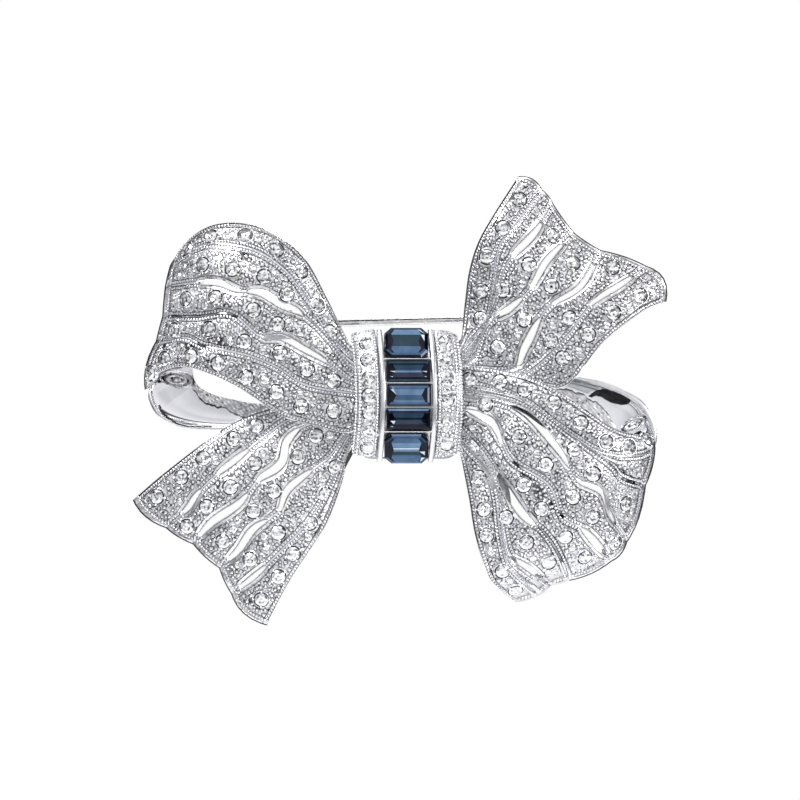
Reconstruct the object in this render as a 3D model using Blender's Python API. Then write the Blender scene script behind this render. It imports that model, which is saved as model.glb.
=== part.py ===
"""A bow brooch: two pierced loops and two tails of stone-set ribbon, gathered in a knot that holds a
channel of five blue step-cut stones between two collars of clear round stones. On its back, a plate
with two arms carries the pin's hinge and a turning safety catch.

The frame is the brooch as worn: +Z is up, +X is to the right for someone who looks at it, and the front
faces -Y. The origin is the centre of the back plate's flat back face. Sizes here are in millimetres.
"""

import math

import bmesh
import bpy
import numpy as np
from mathutils import Vector

MM = 0.001

# ---- Driving dimensions, in millimetres ----

SHEET = 1.1  # thickness of the cast ribbon sheets
BAND = 0.7  # thickness of the loops' return bands
RIB_BULGE = 0.3  # how far a rib's middle stands above its edges
SEAM = 0.05  # gap where two flat faces are soldered

COLLAR_EDGE = 4.75  # how far from the middle the ribbons end, under the collars
GATHER = 0.72  # how much narrower the ribbons are there than where they leave the collars
END_REACH = 0.3  # how far a ribbon's end stands past its veins' last points

KNOT_CREST = 9.0  # how far the knot's rims stand in front of the back face
KNOT_RADIUS = 11.0
KNOT_TOP = 7.4
KNOT_BOTTOM = -7.15
KNOT_BOW = 0.5  # sideways bow of the channel at its ends
RIM_WIDTH = 0.55
RIM_HEIGHT = 0.95
FLOOR = 0.7  # thickness of the channel's floor
CHANNEL_HALF = 2.42  # half the width between the rims
KNOT_CENTRE_Y = KNOT_RADIUS - KNOT_CREST
KNOT_CENTRE_Z = (KNOT_TOP + KNOT_BOTTOM) / 2
LEG_END = 6.35  # height at which the knot's legs meet the back plate
RIM_SHORT = 0.25  # how much shorter the channel is at each end than the row of stones
COLLAR_TOP_SHORT = -0.15  # how much lower the collars' upper ends are than the end stone's
COLLAR_SHORT = 0.45  # how much higher their lower ends are than the lower end stone's

BLUE_LONG = 4.7  # a blue stone's length across the channel
BLUE_MID = 2.32  # height of the middle three
BLUE_END = 3.68  # height of the end two
BLUE_CUT = 0.75  # cut corner of the end two
BAR = 0.28  # thickness of a divider bar

ROUND_STONE = 1.5  # diameter of a collar stone
SEAT_CLEAR = 0.06

PAD_HALF_WIDTH = 5.5
PAD_HALF_HEIGHT = 6.6
PLATE_FRONT = -1.0
ARM_BACK = -0.3  # the arms are recessed from the pad's back face
BASE_FRONT = ARM_BACK + SEAM
BASE_BACK = 0.45

PIN_DEPTH = 2.6  # the pin's line behind the back face
HINGE = (-14.0, PIN_DEPTH, 7.75)
PIN_RISE = math.tan(math.radians(1.7))
PIN_RADIUS = 0.4
PIN_THIN = 0.33  # radius where the point begins
PIN_POINT = 10.9  # where the point ends, along X
EYE_RADIUS = 1.0
EYE_HALF = 0.44
RIVET_RADIUS = 0.4
BORE_RADIUS = 0.46
CHEEK = 0.6
CHEEK_GAP = 0.5  # from the pin's middle to a hinge cheek
CHEEK_ROUND = 1.15

CATCH_X = 7.75
CATCH = (CATCH_X, PIN_DEPTH, HINGE[2] + (CATCH_X - HINGE[0]) * PIN_RISE)
CATCH_HALF = 0.85  # half the length of the roller between the cheeks
CATCH_CHEEK = 0.5
ROLLER_RADIUS = 1.3
NECK_RADIUS = 0.95
SEAT_RADIUS = 1.03
ROLLER_SLOT = 0.5  # half the width of the roller's slot
HOUSING_RADIUS = 1.75
HOUSING_SLOT = 0.55
TAB_ANGLE = math.radians(-75)
TAB_REACH = 2.9
TAB_HALF = 0.3

ROUND_SIDES = 16

# ---- The ribbons ----
# A ribbon is drawn by its veins: smooth lines of (x, z) points from the knot to its far end, one more
# than it has ribs. Some veins open into slots, each given as (vein, start, end, width). The crest says
# how far the ribbon stands forward along its length, and drops how far its two edges fall back.

LEFT_LOOP = {
    "veins": [
        [(-6.4, 6.2), (-8.5, 10.3), (-10.8, 14.5), (-13.9, 17.25), (-17.3, 18.4), (-20.5, 18.35),
         (-22.95, 17.25), (-24.5, 15.6)],
        [(-6.4, 4.7), (-7.7, 5.9), (-9.3, 8.0), (-10.8, 10.5), (-13, 13.4), (-16.1, 15.45),
         (-20.1, 16.2), (-22.5, 15.8), (-25.2, 14.2)],
        [(-6.4, 3.4), (-8.5, 6.3), (-10.9, 8.6), (-13.3, 9.8), (-15.5, 11.0), (-17.9, 11.2),
         (-20.1, 12.05), (-22.2, 12.1), (-25.65, 11.8)],
        [(-6.4, 1.9), (-8.5, 3.65), (-10.95, 5.05), (-13.3, 6.3), (-15.6, 6.45), (-18.6, 8.7),
         (-22.3, 8.5), (-25.9, 8.6)],
        [(-6.4, 0.5), (-10.8, 1.3), (-13.9, 3.2), (-17, 4.45), (-21.4, 5.35), (-23.7, 6.3),
         (-26.6, 6.0)],
        [(-6.4, -3.8), (-9.5, -3.1), (-13.3, -2.0), (-17, 0.45), (-20.8, 2.35), (-24, 3.2),
         (-26.75, 2.4), (-27.9, 1.0)],
    ],
    "slots": [
        (2, (-10.8, 8.6), (-17, 10.95), 0.72),
        (2, (-17.5, 10.95), (-22.3, 12.1), 0.45),
        (3, (-8.5, 3.65), (-15.6, 6.45), 0.5),
    ],
    "crest": [(0, 4.4), (0.1, 4.6), (0.3, 6.0), (0.55, 7.0), (0.75, 6.4), (0.9, 4.5), (1, 2.4)],
    "drops": (2.6, 0.9),
    "end_bulges": [0.1, 0.0, 0.0, 0.0, 0.5],
}

RIGHT_LOOP = {
    "veins": [
        [(5.5, -6.0), (6.4, -10.4), (7.05, -14.4), (8.15, -18.2), (9.05, -19.85), (11.25, -21.7)],
        [(5.6, -4.7), (8.3, -7.5), (9.2, -10), (9.8, -15), (10.9, -18.3), (13.8, -21.0)],
        [(5.6, -4.0), (8.3, -7.0), (9.6, -10.2), (10.2, -14.5), (10.9, -16.8), (12.5, -17.9),
         (15, -19.9)],
        [(5.6, -3.3), (8.2, -6.2), (10.3, -9.65), (12.3, -12.6), (14.3, -14.2), (15.8, -16.4),
         (17.1, -19.3)],
        [(5.5, -1.1), (8.7, -2.55), (10, -5), (11.2, -6.9), (14.8, -9.25), (16.3, -12.6),
         (18.6, -14.1), (21.5, -17.3)],
        [(5.5, 0.1), (9.8, -0.6), (12.9, -2.1), (16.2, -6.0), (17.8, -8.7), (20.4, -10),
         (21.45, -12.6), (23.2, -15.2)],
        [(5.5, 0.8), (11.5, -0.3), (17.5, -4.3), (21.3, -7.1), (22.7, -8.6), (25.1, -9.3)],
        [(5.5, 1.4), (11.5, 0.0), (16.5, -3.5), (20.5, -5.9), (24.5, -6.2), (26.15, -5.5)],
        [(5.3, 3.3), (9.5, 3.0), (13.7, 1.8), (17.3, -0.3), (21.35, -3.05), (24.3, -3.95),
         (25.9, -4.1)],
    ],
    "slots": [
        (2, (10.9, -16.8), (14.3, -19.1), 0.5),
        (3, (9.3, -8.1), (13.5, -13.2), 0.75),
        (4, (6.2, -1.4), (9.9, -4.8), 0.6),
        (4, (18.3, -13.9), (21.1, -16.8), 0.65),
        (5, (10.9, -0.9), (16.8, -7.2), 0.7),
        (5, (17.7, -8.8), (22.3, -13.5), 0.4),
    ],
    "crest": [(0, 4.4), (0.12, 4.7), (0.35, 6.2), (0.6, 6.9), (0.8, 6.0), (0.93, 4.2), (1, 2.4)],
    "drops": (1.6, 1.1),
    "end_bulges": [0.2, 0.1, 0.1, 0.3, 0.3, 0.5, 0.2, 0.0],
}

LEFT_TAIL = {
    "veins": [
        [(-6.3, -0.5), (-11.5, -1.0), (-14.9, -1.3), (-19.3, -3.15), (-25.7, -7.9), (-29.15, -10.8)],
        [(-6.3, -1.5), (-12, -2.2), (-15, -4), (-17.2, -5.75), (-20, -8.0), (-22.25, -10.1),
         (-23.6, -12.0), (-25.6, -13.75)],
        [(-6.3, -2.3), (-10.6, -2.9), (-12.8, -4.6), (-13.5, -7.05), (-15.9, -8.85), (-17.9, -11.25),
         (-20.9, -13.35), (-22.7, -15.45)],
        [(-6.3, -3.6), (-8.5, -6.5), (-11.05, -8.35), (-12.85, -9.95), (-13.9, -12.3),
         (-16.4, -14), (-18.05, -16.3), (-19.9, -18.0)],
        [(-6.3, -4.8), (-8.1, -9), (-10.4, -13), (-14.3, -17.1), (-16.25, -18.95), (-18.6, -20.8)],
        [(-6.4, -6.1), (-7, -9), (-8.95, -14), (-12.5, -19.55), (-14.9, -24.1)],
    ],
    "slots": [
        (1, (-17, -5.5), (-20.2, -8.2), 0.5),
        (1, (-21.9, -9.9), (-24.1, -12.5), 0.42),
        (2, (-11.4, -3.4), (-16, -8.9), 0.8),
        (2, (-17, -10.2), (-22.1, -14.8), 0.7),
        (3, (-10.1, -7.9), (-13.7, -12.0), 0.6),
        (3, (-15, -13), (-19.2, -17.3), 0.62),
        (4, (-15, -18.2), (-18.0, -20.3), 0.42),
    ],
    "crest": [(0, 3.0), (0.3, 3.1), (0.55, 4.0), (0.8, 3.9), (1, 2.6)],
    "drops": (1.0, 0.9),
    "end_bulges": [0.5, 0.15, 0.15, 0.1, 0.7],
}

RIGHT_TAIL = {
    "veins": [
        [(5.6, 6.0), (6.05, 10), (6.5, 13.4), (7.45, 16.45), (9.1, 19.4), (11.6, 23.3)],
        [(6.2, 5.6), (8.2, 8.2), (9, 12), (9.75, 16.1), (12.4, 19.7), (14.1, 21.9)],
        [(6.6, 4.9), (9, 9.5), (10, 13), (11, 14.85), (13.45, 17.45), (15.3, 20.4)],
        [(7.0, 4.2), (8.4, 7.6), (10.9, 9.5), (12.9, 11.4), (14.75, 14.5), (17.5, 17.3)],
        [(7.0, 2.9), (11.2, 3.0), (12.5, 5.45), (14.7, 9.3), (18.3, 11.75), (20.4, 15.4)],
        [(7.0, 2.2), (12.5, 2.6), (16.7, 6.25), (19.6, 10), (23, 12.25), (25.2, 13.8)],
        [(7.0, 1.3), (13.9, 1.1), (16.95, 1.3), (20.55, 5.6), (24.6, 8.85), (27.3, 10.1)],
    ],
    "slots": [
        (2, (11, 14.85), (14.1, 18.75), 0.6),
        (3, (9.3, 8.6), (12.2, 10.5), 0.5),
        (3, (13, 11.5), (17, 15.95), 0.55),
        (4, (11.4, 3.3), (14.1, 8.2), 0.7),
        (4, (15.3, 9.8), (19.9, 14.3), 0.5),
        (5, (19.4, 9.8), (24, 12.9), 0.5),
    ],
    "crest": [(0, 3.0), (0.25, 3.0), (0.55, 4.1), (0.8, 4.0), (1, 2.6)],
    "drops": (0.7, 0.7),
    "end_bulges": [0.5, 0.1, -0.1, -0.1, 0.2, 0.95],
}

# A return band is a plain ribbon of one rib, from the fold at the loop's far end back to the knot.
LEFT_RETURN = {
    "veins": [
        [(-27.6, 1.2), (-27.7, -0.3), (-26.45, -2.3), (-24, -3.25), (-20.3, -3.5), (-17, -3.2),
         (-14, -2.6), (-10.5, -2.3), (-COLLAR_EDGE, -2.3)],
        [(-24.2, 8.2), (-23.7, 6.4), (-23.2, 4.2), (-22.8, 1.8), (-21.1, 0.45), (-18, -0.4),
         (-15.8, -0.7), (-12, -0.8), (-COLLAR_EDGE, -0.9)],
    ],
    "slots": [],
    "crest": [(0, 0.75), (0.1, 0.9), (0.3, 1.05), (0.6, 1.1), (0.85, 1.4), (1, 1.85)],
    "drops": (0.0, 0.0),
    "bulge": 0.0,
    "end_bulges": [0.0],
}

RIGHT_RETURN = {
    "veins": [
        [(23.7, -9.0), (23.2, -7.0), (22.6, -5.4), (21.9, -4.3), (20.4, -3.0), (18.4, -1.6), (16, -0.5),
         (12, 0.2), (COLLAR_EDGE, 0.2)],
        [(25.9, -6.0), (26.55, -4.9), (26.6, -3.5), (26.1, -1.95), (24.9, -0.3), (22.8, 0.95), (20.8, 1.65),
         (18, 2.3), (15.5, 2.45), (12, 1.9), (COLLAR_EDGE, 1.8)],
    ],
    "slots": [],
    "crest": [(0, 0.65), (0.1, 0.85), (0.3, 1.05), (0.6, 1.1), (0.85, 1.4), (1, 1.85)],
    "drops": (0.0, 0.0),
    "bulge": 0.0,
    "end_bulges": [0.0],
}

STATIONS = 30  # cross sections along a ribbon
COLUMNS = 2  # strips across a rib

# Heights of the collar stones, with how far each lies from the brooch's middle.
LEFT_COLLAR_STONES = [(4.35, 6.0), (4.25, 4.2), (4.05, 2.1), (4.1, 0.15), (4.0, -1.8), (3.95, -3.9),
                      (4.25, -5.75)]
RIGHT_COLLAR_STONES = [(3.75, 6.3), (3.85, 4.4), (3.95, 2.1), (4.05, -0.2), (3.95, -2.9), (4.1, -5.3)]

DIVIDERS = (4.05, 1.5, -1.05, -3.65)


# ---- Shared tools ----


def clear_scene():
    for obj in list(bpy.data.objects):
        bpy.data.objects.remove(obj)


def make_material(name, colour, roughness, metallic):
    made = bpy.data.materials.new(name)
    made.use_nodes = True
    shader = made.node_tree.nodes["Principled BSDF"]
    shader.inputs["Base Color"].default_value = (*colour, 1)
    shader.inputs["Roughness"].default_value = roughness
    shader.inputs["Metallic"].default_value = metallic
    return made


def object_from(name, bm, material, origin=(0, 0, 0), sharp=30):
    """An object of this bmesh, whose points are in metres from the origin given in millimetres."""
    bmesh.ops.remove_doubles(bm, verts=bm.verts, dist=1e-7)
    bmesh.ops.recalc_face_normals(bm, faces=bm.faces)
    mesh = bpy.data.meshes.new(name)
    bm.to_mesh(mesh)
    bm.free()
    mesh.materials.append(material)
    mesh.shade_smooth()
    mesh.set_sharp_from_angle(angle=math.radians(sharp))
    obj = bpy.data.objects.new(name, mesh)
    obj.location = Vector(origin) * MM
    bpy.context.scene.collection.objects.link(obj)
    return obj


def loft(name, loops, material, origin=(0, 0, 0), sharp=30):
    """One closed body through loops with the same number of points, capped at both ends."""
    bm = bmesh.new()
    rows = [[bm.verts.new(Vector(point) * MM) for point in loop] for loop in loops]
    for near, far in zip(rows, rows[1:]):
        for i, point in enumerate(near):
            bm.faces.new((near[i - 1], point, far[i], far[i - 1]))
    bm.faces.new(rows[0])
    bm.faces.new(rows[-1])
    return object_from(name, bm, material, origin, sharp)


def plate(name, outline, axis, low, high, material, origin=(0, 0, 0)):
    """A flat outline extruded along one axis. The outline's points are in the other two, in order."""

    def lift(point, level):
        full = list(point)
        full.insert(axis, level)
        return full

    return loft(name, [[lift(p, low) for p in outline], [lift(p, high) for p in outline]], material, origin)


def rounded_box(half_width, half_height, corner, steps=4):
    """A rectangle's outline with round corners."""
    points = []
    for turn, (sx, sy) in enumerate([(1, 1), (-1, 1), (-1, -1), (1, -1)]):
        for k in range(steps + 1):
            angle = (turn + k / steps) * math.pi / 2
            points.append((sx * (half_width - corner) + corner * math.cos(angle),
                           sy * (half_height - corner) + corner * math.sin(angle)))
    return points


def circle(radius, sides=ROUND_SIDES, start=0.0):
    return [(radius * math.cos(start + 2 * math.pi * k / sides),
             radius * math.sin(start + 2 * math.pi * k / sides)) for k in range(sides)]


def combine(target, tool, operation):
    """Adds a Boolean to the target, and hides the tool that it uses."""
    step = target.modifiers.new(tool.name, "BOOLEAN")
    step.operation = operation
    step.object = tool
    tool.hide_render = True
    tool.display_type = "WIRE"


def smooth_profile(knots, s):
    """A smooth curve through (s, value) knots."""
    at = np.array([k[0] for k in knots], float)
    value = np.array([k[1] for k in knots], float)
    slope = np.gradient(value, at)
    i = min(max(int(np.searchsorted(at, s)) - 1, 0), len(at) - 2)
    width = at[i + 1] - at[i]
    t = (s - at[i]) / width
    return ((2 * t**3 - 3 * t**2 + 1) * value[i] + (t**3 - 2 * t**2 + t) * width * slope[i]
            + (3 * t**2 - 2 * t**3) * value[i + 1] + (t**3 - t**2) * width * slope[i + 1])


def curve_through(points, count):
    """Points evenly spaced on a smooth curve through the given ones."""
    given = np.array(points, float)
    padded = np.vstack([2 * given[0] - given[1], given, 2 * given[-1] - given[-2]])
    fine = []
    for a, b, c, d in zip(padded, padded[1:], padded[2:], padded[3:]):
        for t in np.linspace(0, 1, 12, endpoint=False):
            fine.append(0.5 * (2 * b + (c - a) * t + (2 * a - 5 * b + 4 * c - d) * t**2
                               + (3 * b - a - 3 * c + d) * t**3))
    fine = np.array(fine + [given[-1]])
    run = np.concatenate([[0], np.cumsum(np.linalg.norm(np.diff(fine, axis=0), axis=1))])
    even = np.linspace(0, run[-1], count)
    return np.column_stack([np.interp(even, run, fine[:, 0]), np.interp(even, run, fine[:, 1])])


def smoothstep(t):
    t = min(max(t, 0.0), 1.0)
    return t * t * (3 - 2 * t)


# ---- Ribbons ----


def gathered(vein):
    """The vein with its hidden start under the collar and its end drawn out."""
    side = math.copysign(COLLAR_EDGE, vein[0][0])
    last = Vector(vein[-1])
    reach = (last - Vector(vein[-2])).normalized() * END_REACH
    return [(side, vein[0][1] * GATHER)] + vein[:-1] + [tuple(last + reach)]


def slot_widths(ribbon, curves):
    """How wide each vein is open at each station."""
    widths = np.zeros((len(curves), STATIONS))
    for vein, start, end, width in ribbon["slots"]:
        first = int(np.argmin(np.linalg.norm(curves[vein] - start, axis=1)))
        last = int(np.argmin(np.linalg.norm(curves[vein] - end, axis=1)))
        first, last = min(first, last), max(first, last)
        for j in range(first + 1, last):
            widths[vein, j] = width * math.sin(math.pi * (j - first) / (last - first)) ** 0.5
    return widths


def ribbon_depth(ribbon, s, v, t):
    """How far forward the ribbon stands, s along it, v across it and t across its rib."""
    first, last = ribbon["drops"]
    fall = (first * (1 - v) ** 3 + last * v**3) * smoothstep(s / 0.3)
    return smooth_profile(ribbon["crest"], s) - fall + ribbon.get("bulge", RIB_BULGE) * 4 * t * (1 - t)


def ribbon(name, shape, thickness, material, hidden_start=True):
    """A pierced sheet between the veins, thickened towards the back."""
    veins = [gathered(v) for v in shape["veins"]] if hidden_start else shape["veins"]
    curves = [curve_through(v, STATIONS) for v in veins]
    widths = slot_widths(shape, curves)
    ribs = len(curves) - 1
    sides = []
    for i, curve in enumerate(curves):
        along = np.gradient(curve, axis=0)
        across = curves[min(i + 1, ribs)] - curves[max(i - 1, 0)]
        side = np.column_stack([-along[:, 1], along[:, 0]])
        side /= np.linalg.norm(side, axis=1)[:, None]
        sides.append(side * np.sign((side * across).sum(axis=1))[:, None])

    bm = bmesh.new()
    shared = {}

    def border(i, j, way):
        """The vertex on vein i at station j, on the side of the rib that lies that way."""
        gap = widths[i, j]
        key = (i, j, way if gap else 0)
        if key not in shared:
            x, z = curves[i][j] + sides[i][j] * way * gap / 2
            depth = ribbon_depth(shape, j / (STATIONS - 1), i / ribs, 0)
            shared[key] = bm.verts.new(Vector((x, -depth, z)) * MM)
        return shared[key]

    def middle(i, j, t):
        """A vertex inside rib i."""
        s = j / (STATIONS - 1)
        near = np.array(border(i, j, 1).co)[[0, 2]] / MM
        far = np.array(border(i + 1, j, -1).co)[[0, 2]] / MM
        heading = curves[i][min(j + 1, STATIONS - 1)] - curves[i][j - 1]
        heading = heading / np.linalg.norm(heading)
        push = shape["end_bulges"][i] * 4 * t * (1 - t) * smoothstep((s - 0.85) / 0.15)
        x, z = near + (far - near) * t + heading * push
        return bm.verts.new(Vector((x, -ribbon_depth(shape, s, (i + t) / ribs, t), z)) * MM)

    rows = []
    for j in range(STATIONS):
        row = []
        for i in range(ribs):
            inner = [middle(i, j, k / COLUMNS) for k in range(1, COLUMNS)]
            row.append([border(i, j, 1)] + inner + [border(i + 1, j, -1)])
        rows.append(row)
    for near, far in zip(rows, rows[1:]):
        for first, second in zip(near, far):
            for k in range(COLUMNS):
                bm.faces.new((first[k], first[k + 1], second[k + 1], second[k]))
    bmesh.ops.recalc_face_normals(bm, faces=bm.faces)
    bm.normal_update()
    if sum(face.normal.y for face in bm.faces) > 0:
        bmesh.ops.reverse_faces(bm, faces=bm.faces)
    mesh = bpy.data.meshes.new(name)
    bm.to_mesh(mesh)
    bm.free()
    mesh.materials.append(material)
    mesh.shade_smooth()
    obj = bpy.data.objects.new(name, mesh)
    bpy.context.scene.collection.objects.link(obj)
    thick = obj.modifiers.new("thickness", "SOLIDIFY")
    thick.thickness = thickness * MM
    thick.offset = -1
    return obj


# ---- The knot ----


def knot_arc(top_short, low_short, steps=20):
    """(y, z, outward y, outward z) along the knot's front arc, its ends cut short by these heights."""
    half = (KNOT_TOP - KNOT_BOTTOM) / 2
    top = math.asin((half - top_short) / KNOT_RADIUS)
    low = math.asin((half - low_short) / KNOT_RADIUS)
    arc = []
    for angle in np.linspace(top, -low, steps + 1):
        out = (-math.cos(angle), math.sin(angle))
        arc.append((KNOT_CENTRE_Y + KNOT_RADIUS * out[0], KNOT_CENTRE_Z + KNOT_RADIUS * out[1], *out))
    return arc


def knot_path():
    """The front arc with its two legs, which reach back to the plate."""
    top_leg = [(PLATE_FRONT - SEAM, LEG_END, 0, 1), (-3.5, LEG_END + 0.5, -0.1, 1)]
    low_leg = [(y, -z, out_y, -out_z) for y, z, out_y, out_z in reversed(top_leg)]
    return top_leg + knot_arc(RIM_SHORT, RIM_SHORT) + low_leg


def bow_shift(z):
    """How far the channel's middle line lies to the right at this height."""
    return 0.1 - KNOT_BOW * (z / KNOT_TOP) ** 2


def swept(name, section, material, path):
    """A section of (x, height above the crest line) points swept along a path."""
    loops = []
    for y, z, out_y, out_z in path:
        shift = bow_shift(z)
        loops.append([(x + shift, y + out_y * up, z + out_z * up) for x, up in section])
    return loft(name, loops, material)


def on_knot(z, height):
    """The depth, the height and the tilt of the point this high above the knot's arc at z."""
    tilt = math.asin((z - KNOT_CENTRE_Z) / KNOT_RADIUS)
    radius = KNOT_RADIUS + height
    return (KNOT_CENTRE_Y - radius * math.cos(tilt), KNOT_CENTRE_Z + radius * math.sin(tilt), tilt)


def mid_height(top, bottom):
    """The height halfway along the knot's arc between two heights."""
    turns = [math.asin((z - KNOT_CENTRE_Z) / KNOT_RADIUS) for z in (top, bottom)]
    return KNOT_CENTRE_Z + KNOT_RADIUS * math.sin(sum(turns) / 2)


def knot_channel(metal):
    outer = CHANNEL_HALF + RIM_WIDTH
    section = [(-outer, -RIM_HEIGHT - FLOOR), (-outer, -0.15), (-outer + 0.15, 0),
               (-CHANNEL_HALF - 0.12, 0), (-CHANNEL_HALF, -0.12), (-CHANNEL_HALF, -RIM_HEIGHT),
               (CHANNEL_HALF, -RIM_HEIGHT), (CHANNEL_HALF, -0.12), (CHANNEL_HALF + 0.12, 0),
               (outer - 0.15, 0), (outer, -0.15), (outer, -RIM_HEIGHT - FLOOR)]
    channel = swept("knot_channel", section, metal, knot_path())
    for number, z in enumerate(DIVIDERS):
        y, height, tilt = on_knot(z, 0)
        half = CHANNEL_HALF + RIM_WIDTH / 2
        outline = [(-half, -RIM_HEIGHT - FLOOR / 2), (half, -RIM_HEIGHT - FLOOR / 2), (half, -0.3),
                   (-half, -0.3)]
        bar = plate(f"divider_{number + 1}", [(x, -up) for x, up in outline], 2, -BAR / 2, BAR / 2, metal,
                    (bow_shift(z), y, height))
        bar.rotation_euler.x = -tilt
        combine(channel, bar, "UNION")
    return channel


def collar(name, side, seats, metal):
    """A stone-set collar beside the channel, falling away towards the ribbons."""
    inner = CHANNEL_HALF + RIM_WIDTH + 0.12
    section = [(inner, -1.9), (inner, -0.75), (inner + 0.25, -0.6), (inner + 1.9, -0.95),
               (inner + 2.5, -1.35), (inner + 2.5, -2.25), (inner + 1.8, -2.0)]
    body = swept(name, [(side * x, up) for x, up in section], metal, knot_arc(COLLAR_TOP_SHORT, COLLAR_SHORT))
    cutters = bmesh.new()
    for stone_x, z in seats:
        y, height, tilt = on_knot(z, -0.85)
        for x, across in circle(ROUND_STONE / 2 + SEAT_CLEAR, 12):
            for depth in (-2, 0.55):
                cutters.verts.new(Vector((side * stone_x + x,
                                          y + depth * math.cos(tilt) + across * math.sin(tilt),
                                          height - depth * math.sin(tilt) + across * math.cos(tilt))) * MM)
        made = list(cutters.verts)[-24:]
        low, high = made[0::2], made[1::2]
        for i in range(12):
            cutters.faces.new((low[i - 1], low[i], high[i], high[i - 1]))
        cutters.faces.new(low)
        cutters.faces.new(high)
    seat_tool = object_from(name + "_seats", cutters, metal)
    combine(body, seat_tool, "DIFFERENCE")
    return body


def step_cut(name, long, high, corner, material, z):
    """A step-cut stone: a table, two crown steps, a girdle and a keeled pavilion."""

    def outline(inset, level):
        half_x, half_z = long / 2 - inset, high / 2 - inset
        cut = max(corner - inset * 0.6, 0.08)
        return [(half_x - cut, level, half_z), (-half_x + cut, level, half_z), (-half_x, level, half_z - cut),
                (-half_x, level, -half_z + cut), (-half_x + cut, level, -half_z),
                (half_x - cut, level, -half_z), (half_x, level, -half_z + cut),
                (half_x, level, half_z - cut)]

    levels = [(0.62, -0.3), (0.32, -0.18), (0.0, 0.08), (0.0, 0.16), (0.45, 0.5), (0.8, 0.68)]
    y, height, tilt = on_knot(z, -0.12)
    stone = loft(name, [outline(inset, level) for inset, level in levels], material,
                 (bow_shift(z), y, height), 10)
    stone.rotation_euler.x = -tilt
    return stone


def round_stone(name, side, stone_x, z, material):
    """A round brilliant: a table, a crown, a girdle and a pavilion cut off flat for its foil."""
    radius = ROUND_STONE / 2
    levels = [(0.42, -0.2), (0.93, 0.02), (0.93, 0.1), (0.35, 0.45)]
    loops = [[(x, level, across) for x, across in circle(radius * share, 12, math.pi / 12 * k)]
             for k, (share, level) in enumerate(levels)]
    y, height, tilt = on_knot(z, -0.85)
    stone = loft(name, loops, material, (side * stone_x, y, height), 10)
    stone.rotation_euler.x = -tilt
    return stone


# ---- The back ----


def back_plate(metal):
    pad = plate("back_plate", rounded_box(PAD_HALF_WIDTH, PAD_HALF_HEIGHT, 1.6), 1, PLATE_FRONT, 0, metal)
    left = [(-4.6, 3.6), (-6.6, 4.3), (-9.2, 6.7), (-12.4, 6.9), (-12.4, 6.2), (-15.4, 6.2), (-15.4, 9.3),
            (-12.4, 9.3), (-12.4, 8.3), (-8.8, 8.1), (-6.2, 5.6), (-4.6, 5.0)]
    right = [(4.6, 3.4), (8.2, 3.6), (9.15, 4.6), (9.15, 10.9), (6.35, 10.9), (6.35, 5.4), (4.6, 5.0)]
    for name, outline in (("left_arm", left), ("right_arm", right)):
        combine(pad, plate(name, outline, 1, PLATE_FRONT + 0.05, ARM_BACK, metal), "UNION")
    return pad


def hinge_base(metal):
    x, y, z = HINGE
    foot = [(x - 1.4, z - 1.5), (x + 1.55, z - 1.5), (x + 1.55, z + 1.5), (x - 1.4, z + 1.5)]
    base = plate("hinge_base", foot, 1, BASE_FRONT, BASE_BACK, metal)
    arc = [(x + CHEEK_ROUND * math.cos(a), y + CHEEK_ROUND * math.sin(a))
           for a in np.linspace(0, math.pi, 9)]
    outline = arc + [(x - CHEEK_ROUND, BASE_BACK - 0.3), (x + CHEEK_ROUND, BASE_BACK - 0.3)]
    for name, low in (("upper_cheek", z + CHEEK_GAP), ("lower_cheek", z - CHEEK_GAP - CHEEK)):
        combine(base, plate(name, outline, 2, low, low + CHEEK, metal), "UNION")
    bore = plate("hinge_bore", [(x + px, y + py) for px, py in circle(BORE_RADIUS)], 2, z - 2, z + 2, metal)
    combine(base, bore, "DIFFERENCE")
    return base


def hinge_rivet(metal):
    x, y, z = HINGE
    head = CHEEK_GAP + CHEEK + SEAM
    profile = [(0.35, -head - 0.4), (0.65, -head - 0.25), (0.65, -head), (RIVET_RADIUS, -head),
               (RIVET_RADIUS, head), (0.65, head), (0.65, head + 0.25), (0.35, head + 0.4)]
    loops = [[(px, py, level) for px, py in circle(radius)] for radius, level in profile]
    return loft("hinge_rivet", loops, metal, (x, y, z))


def pin_stem(steel):
    """The eye and the tapered wire, with its origin on the hinge's axis."""
    eye = plate("pin_stem", circle(EYE_RADIUS), 2, -EYE_HALF, EYE_HALF, steel, HINGE)
    reach = PIN_POINT - HINGE[0]
    profile = [(0.72, PIN_RADIUS), (reach - 3.4, PIN_THIN), (reach - 1.2, PIN_THIN * 0.62), (reach, 0.05)]
    loops = [[(x, a, b + x * PIN_RISE) for a, b in circle(radius, 12)] for x, radius in profile]
    combine(eye, loft("pin_wire", loops, steel, HINGE), "UNION")
    bore = plate("eye_bore", circle(BORE_RADIUS), 2, -1, 1, steel, HINGE)
    combine(eye, bore, "DIFFERENCE")
    return eye


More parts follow.
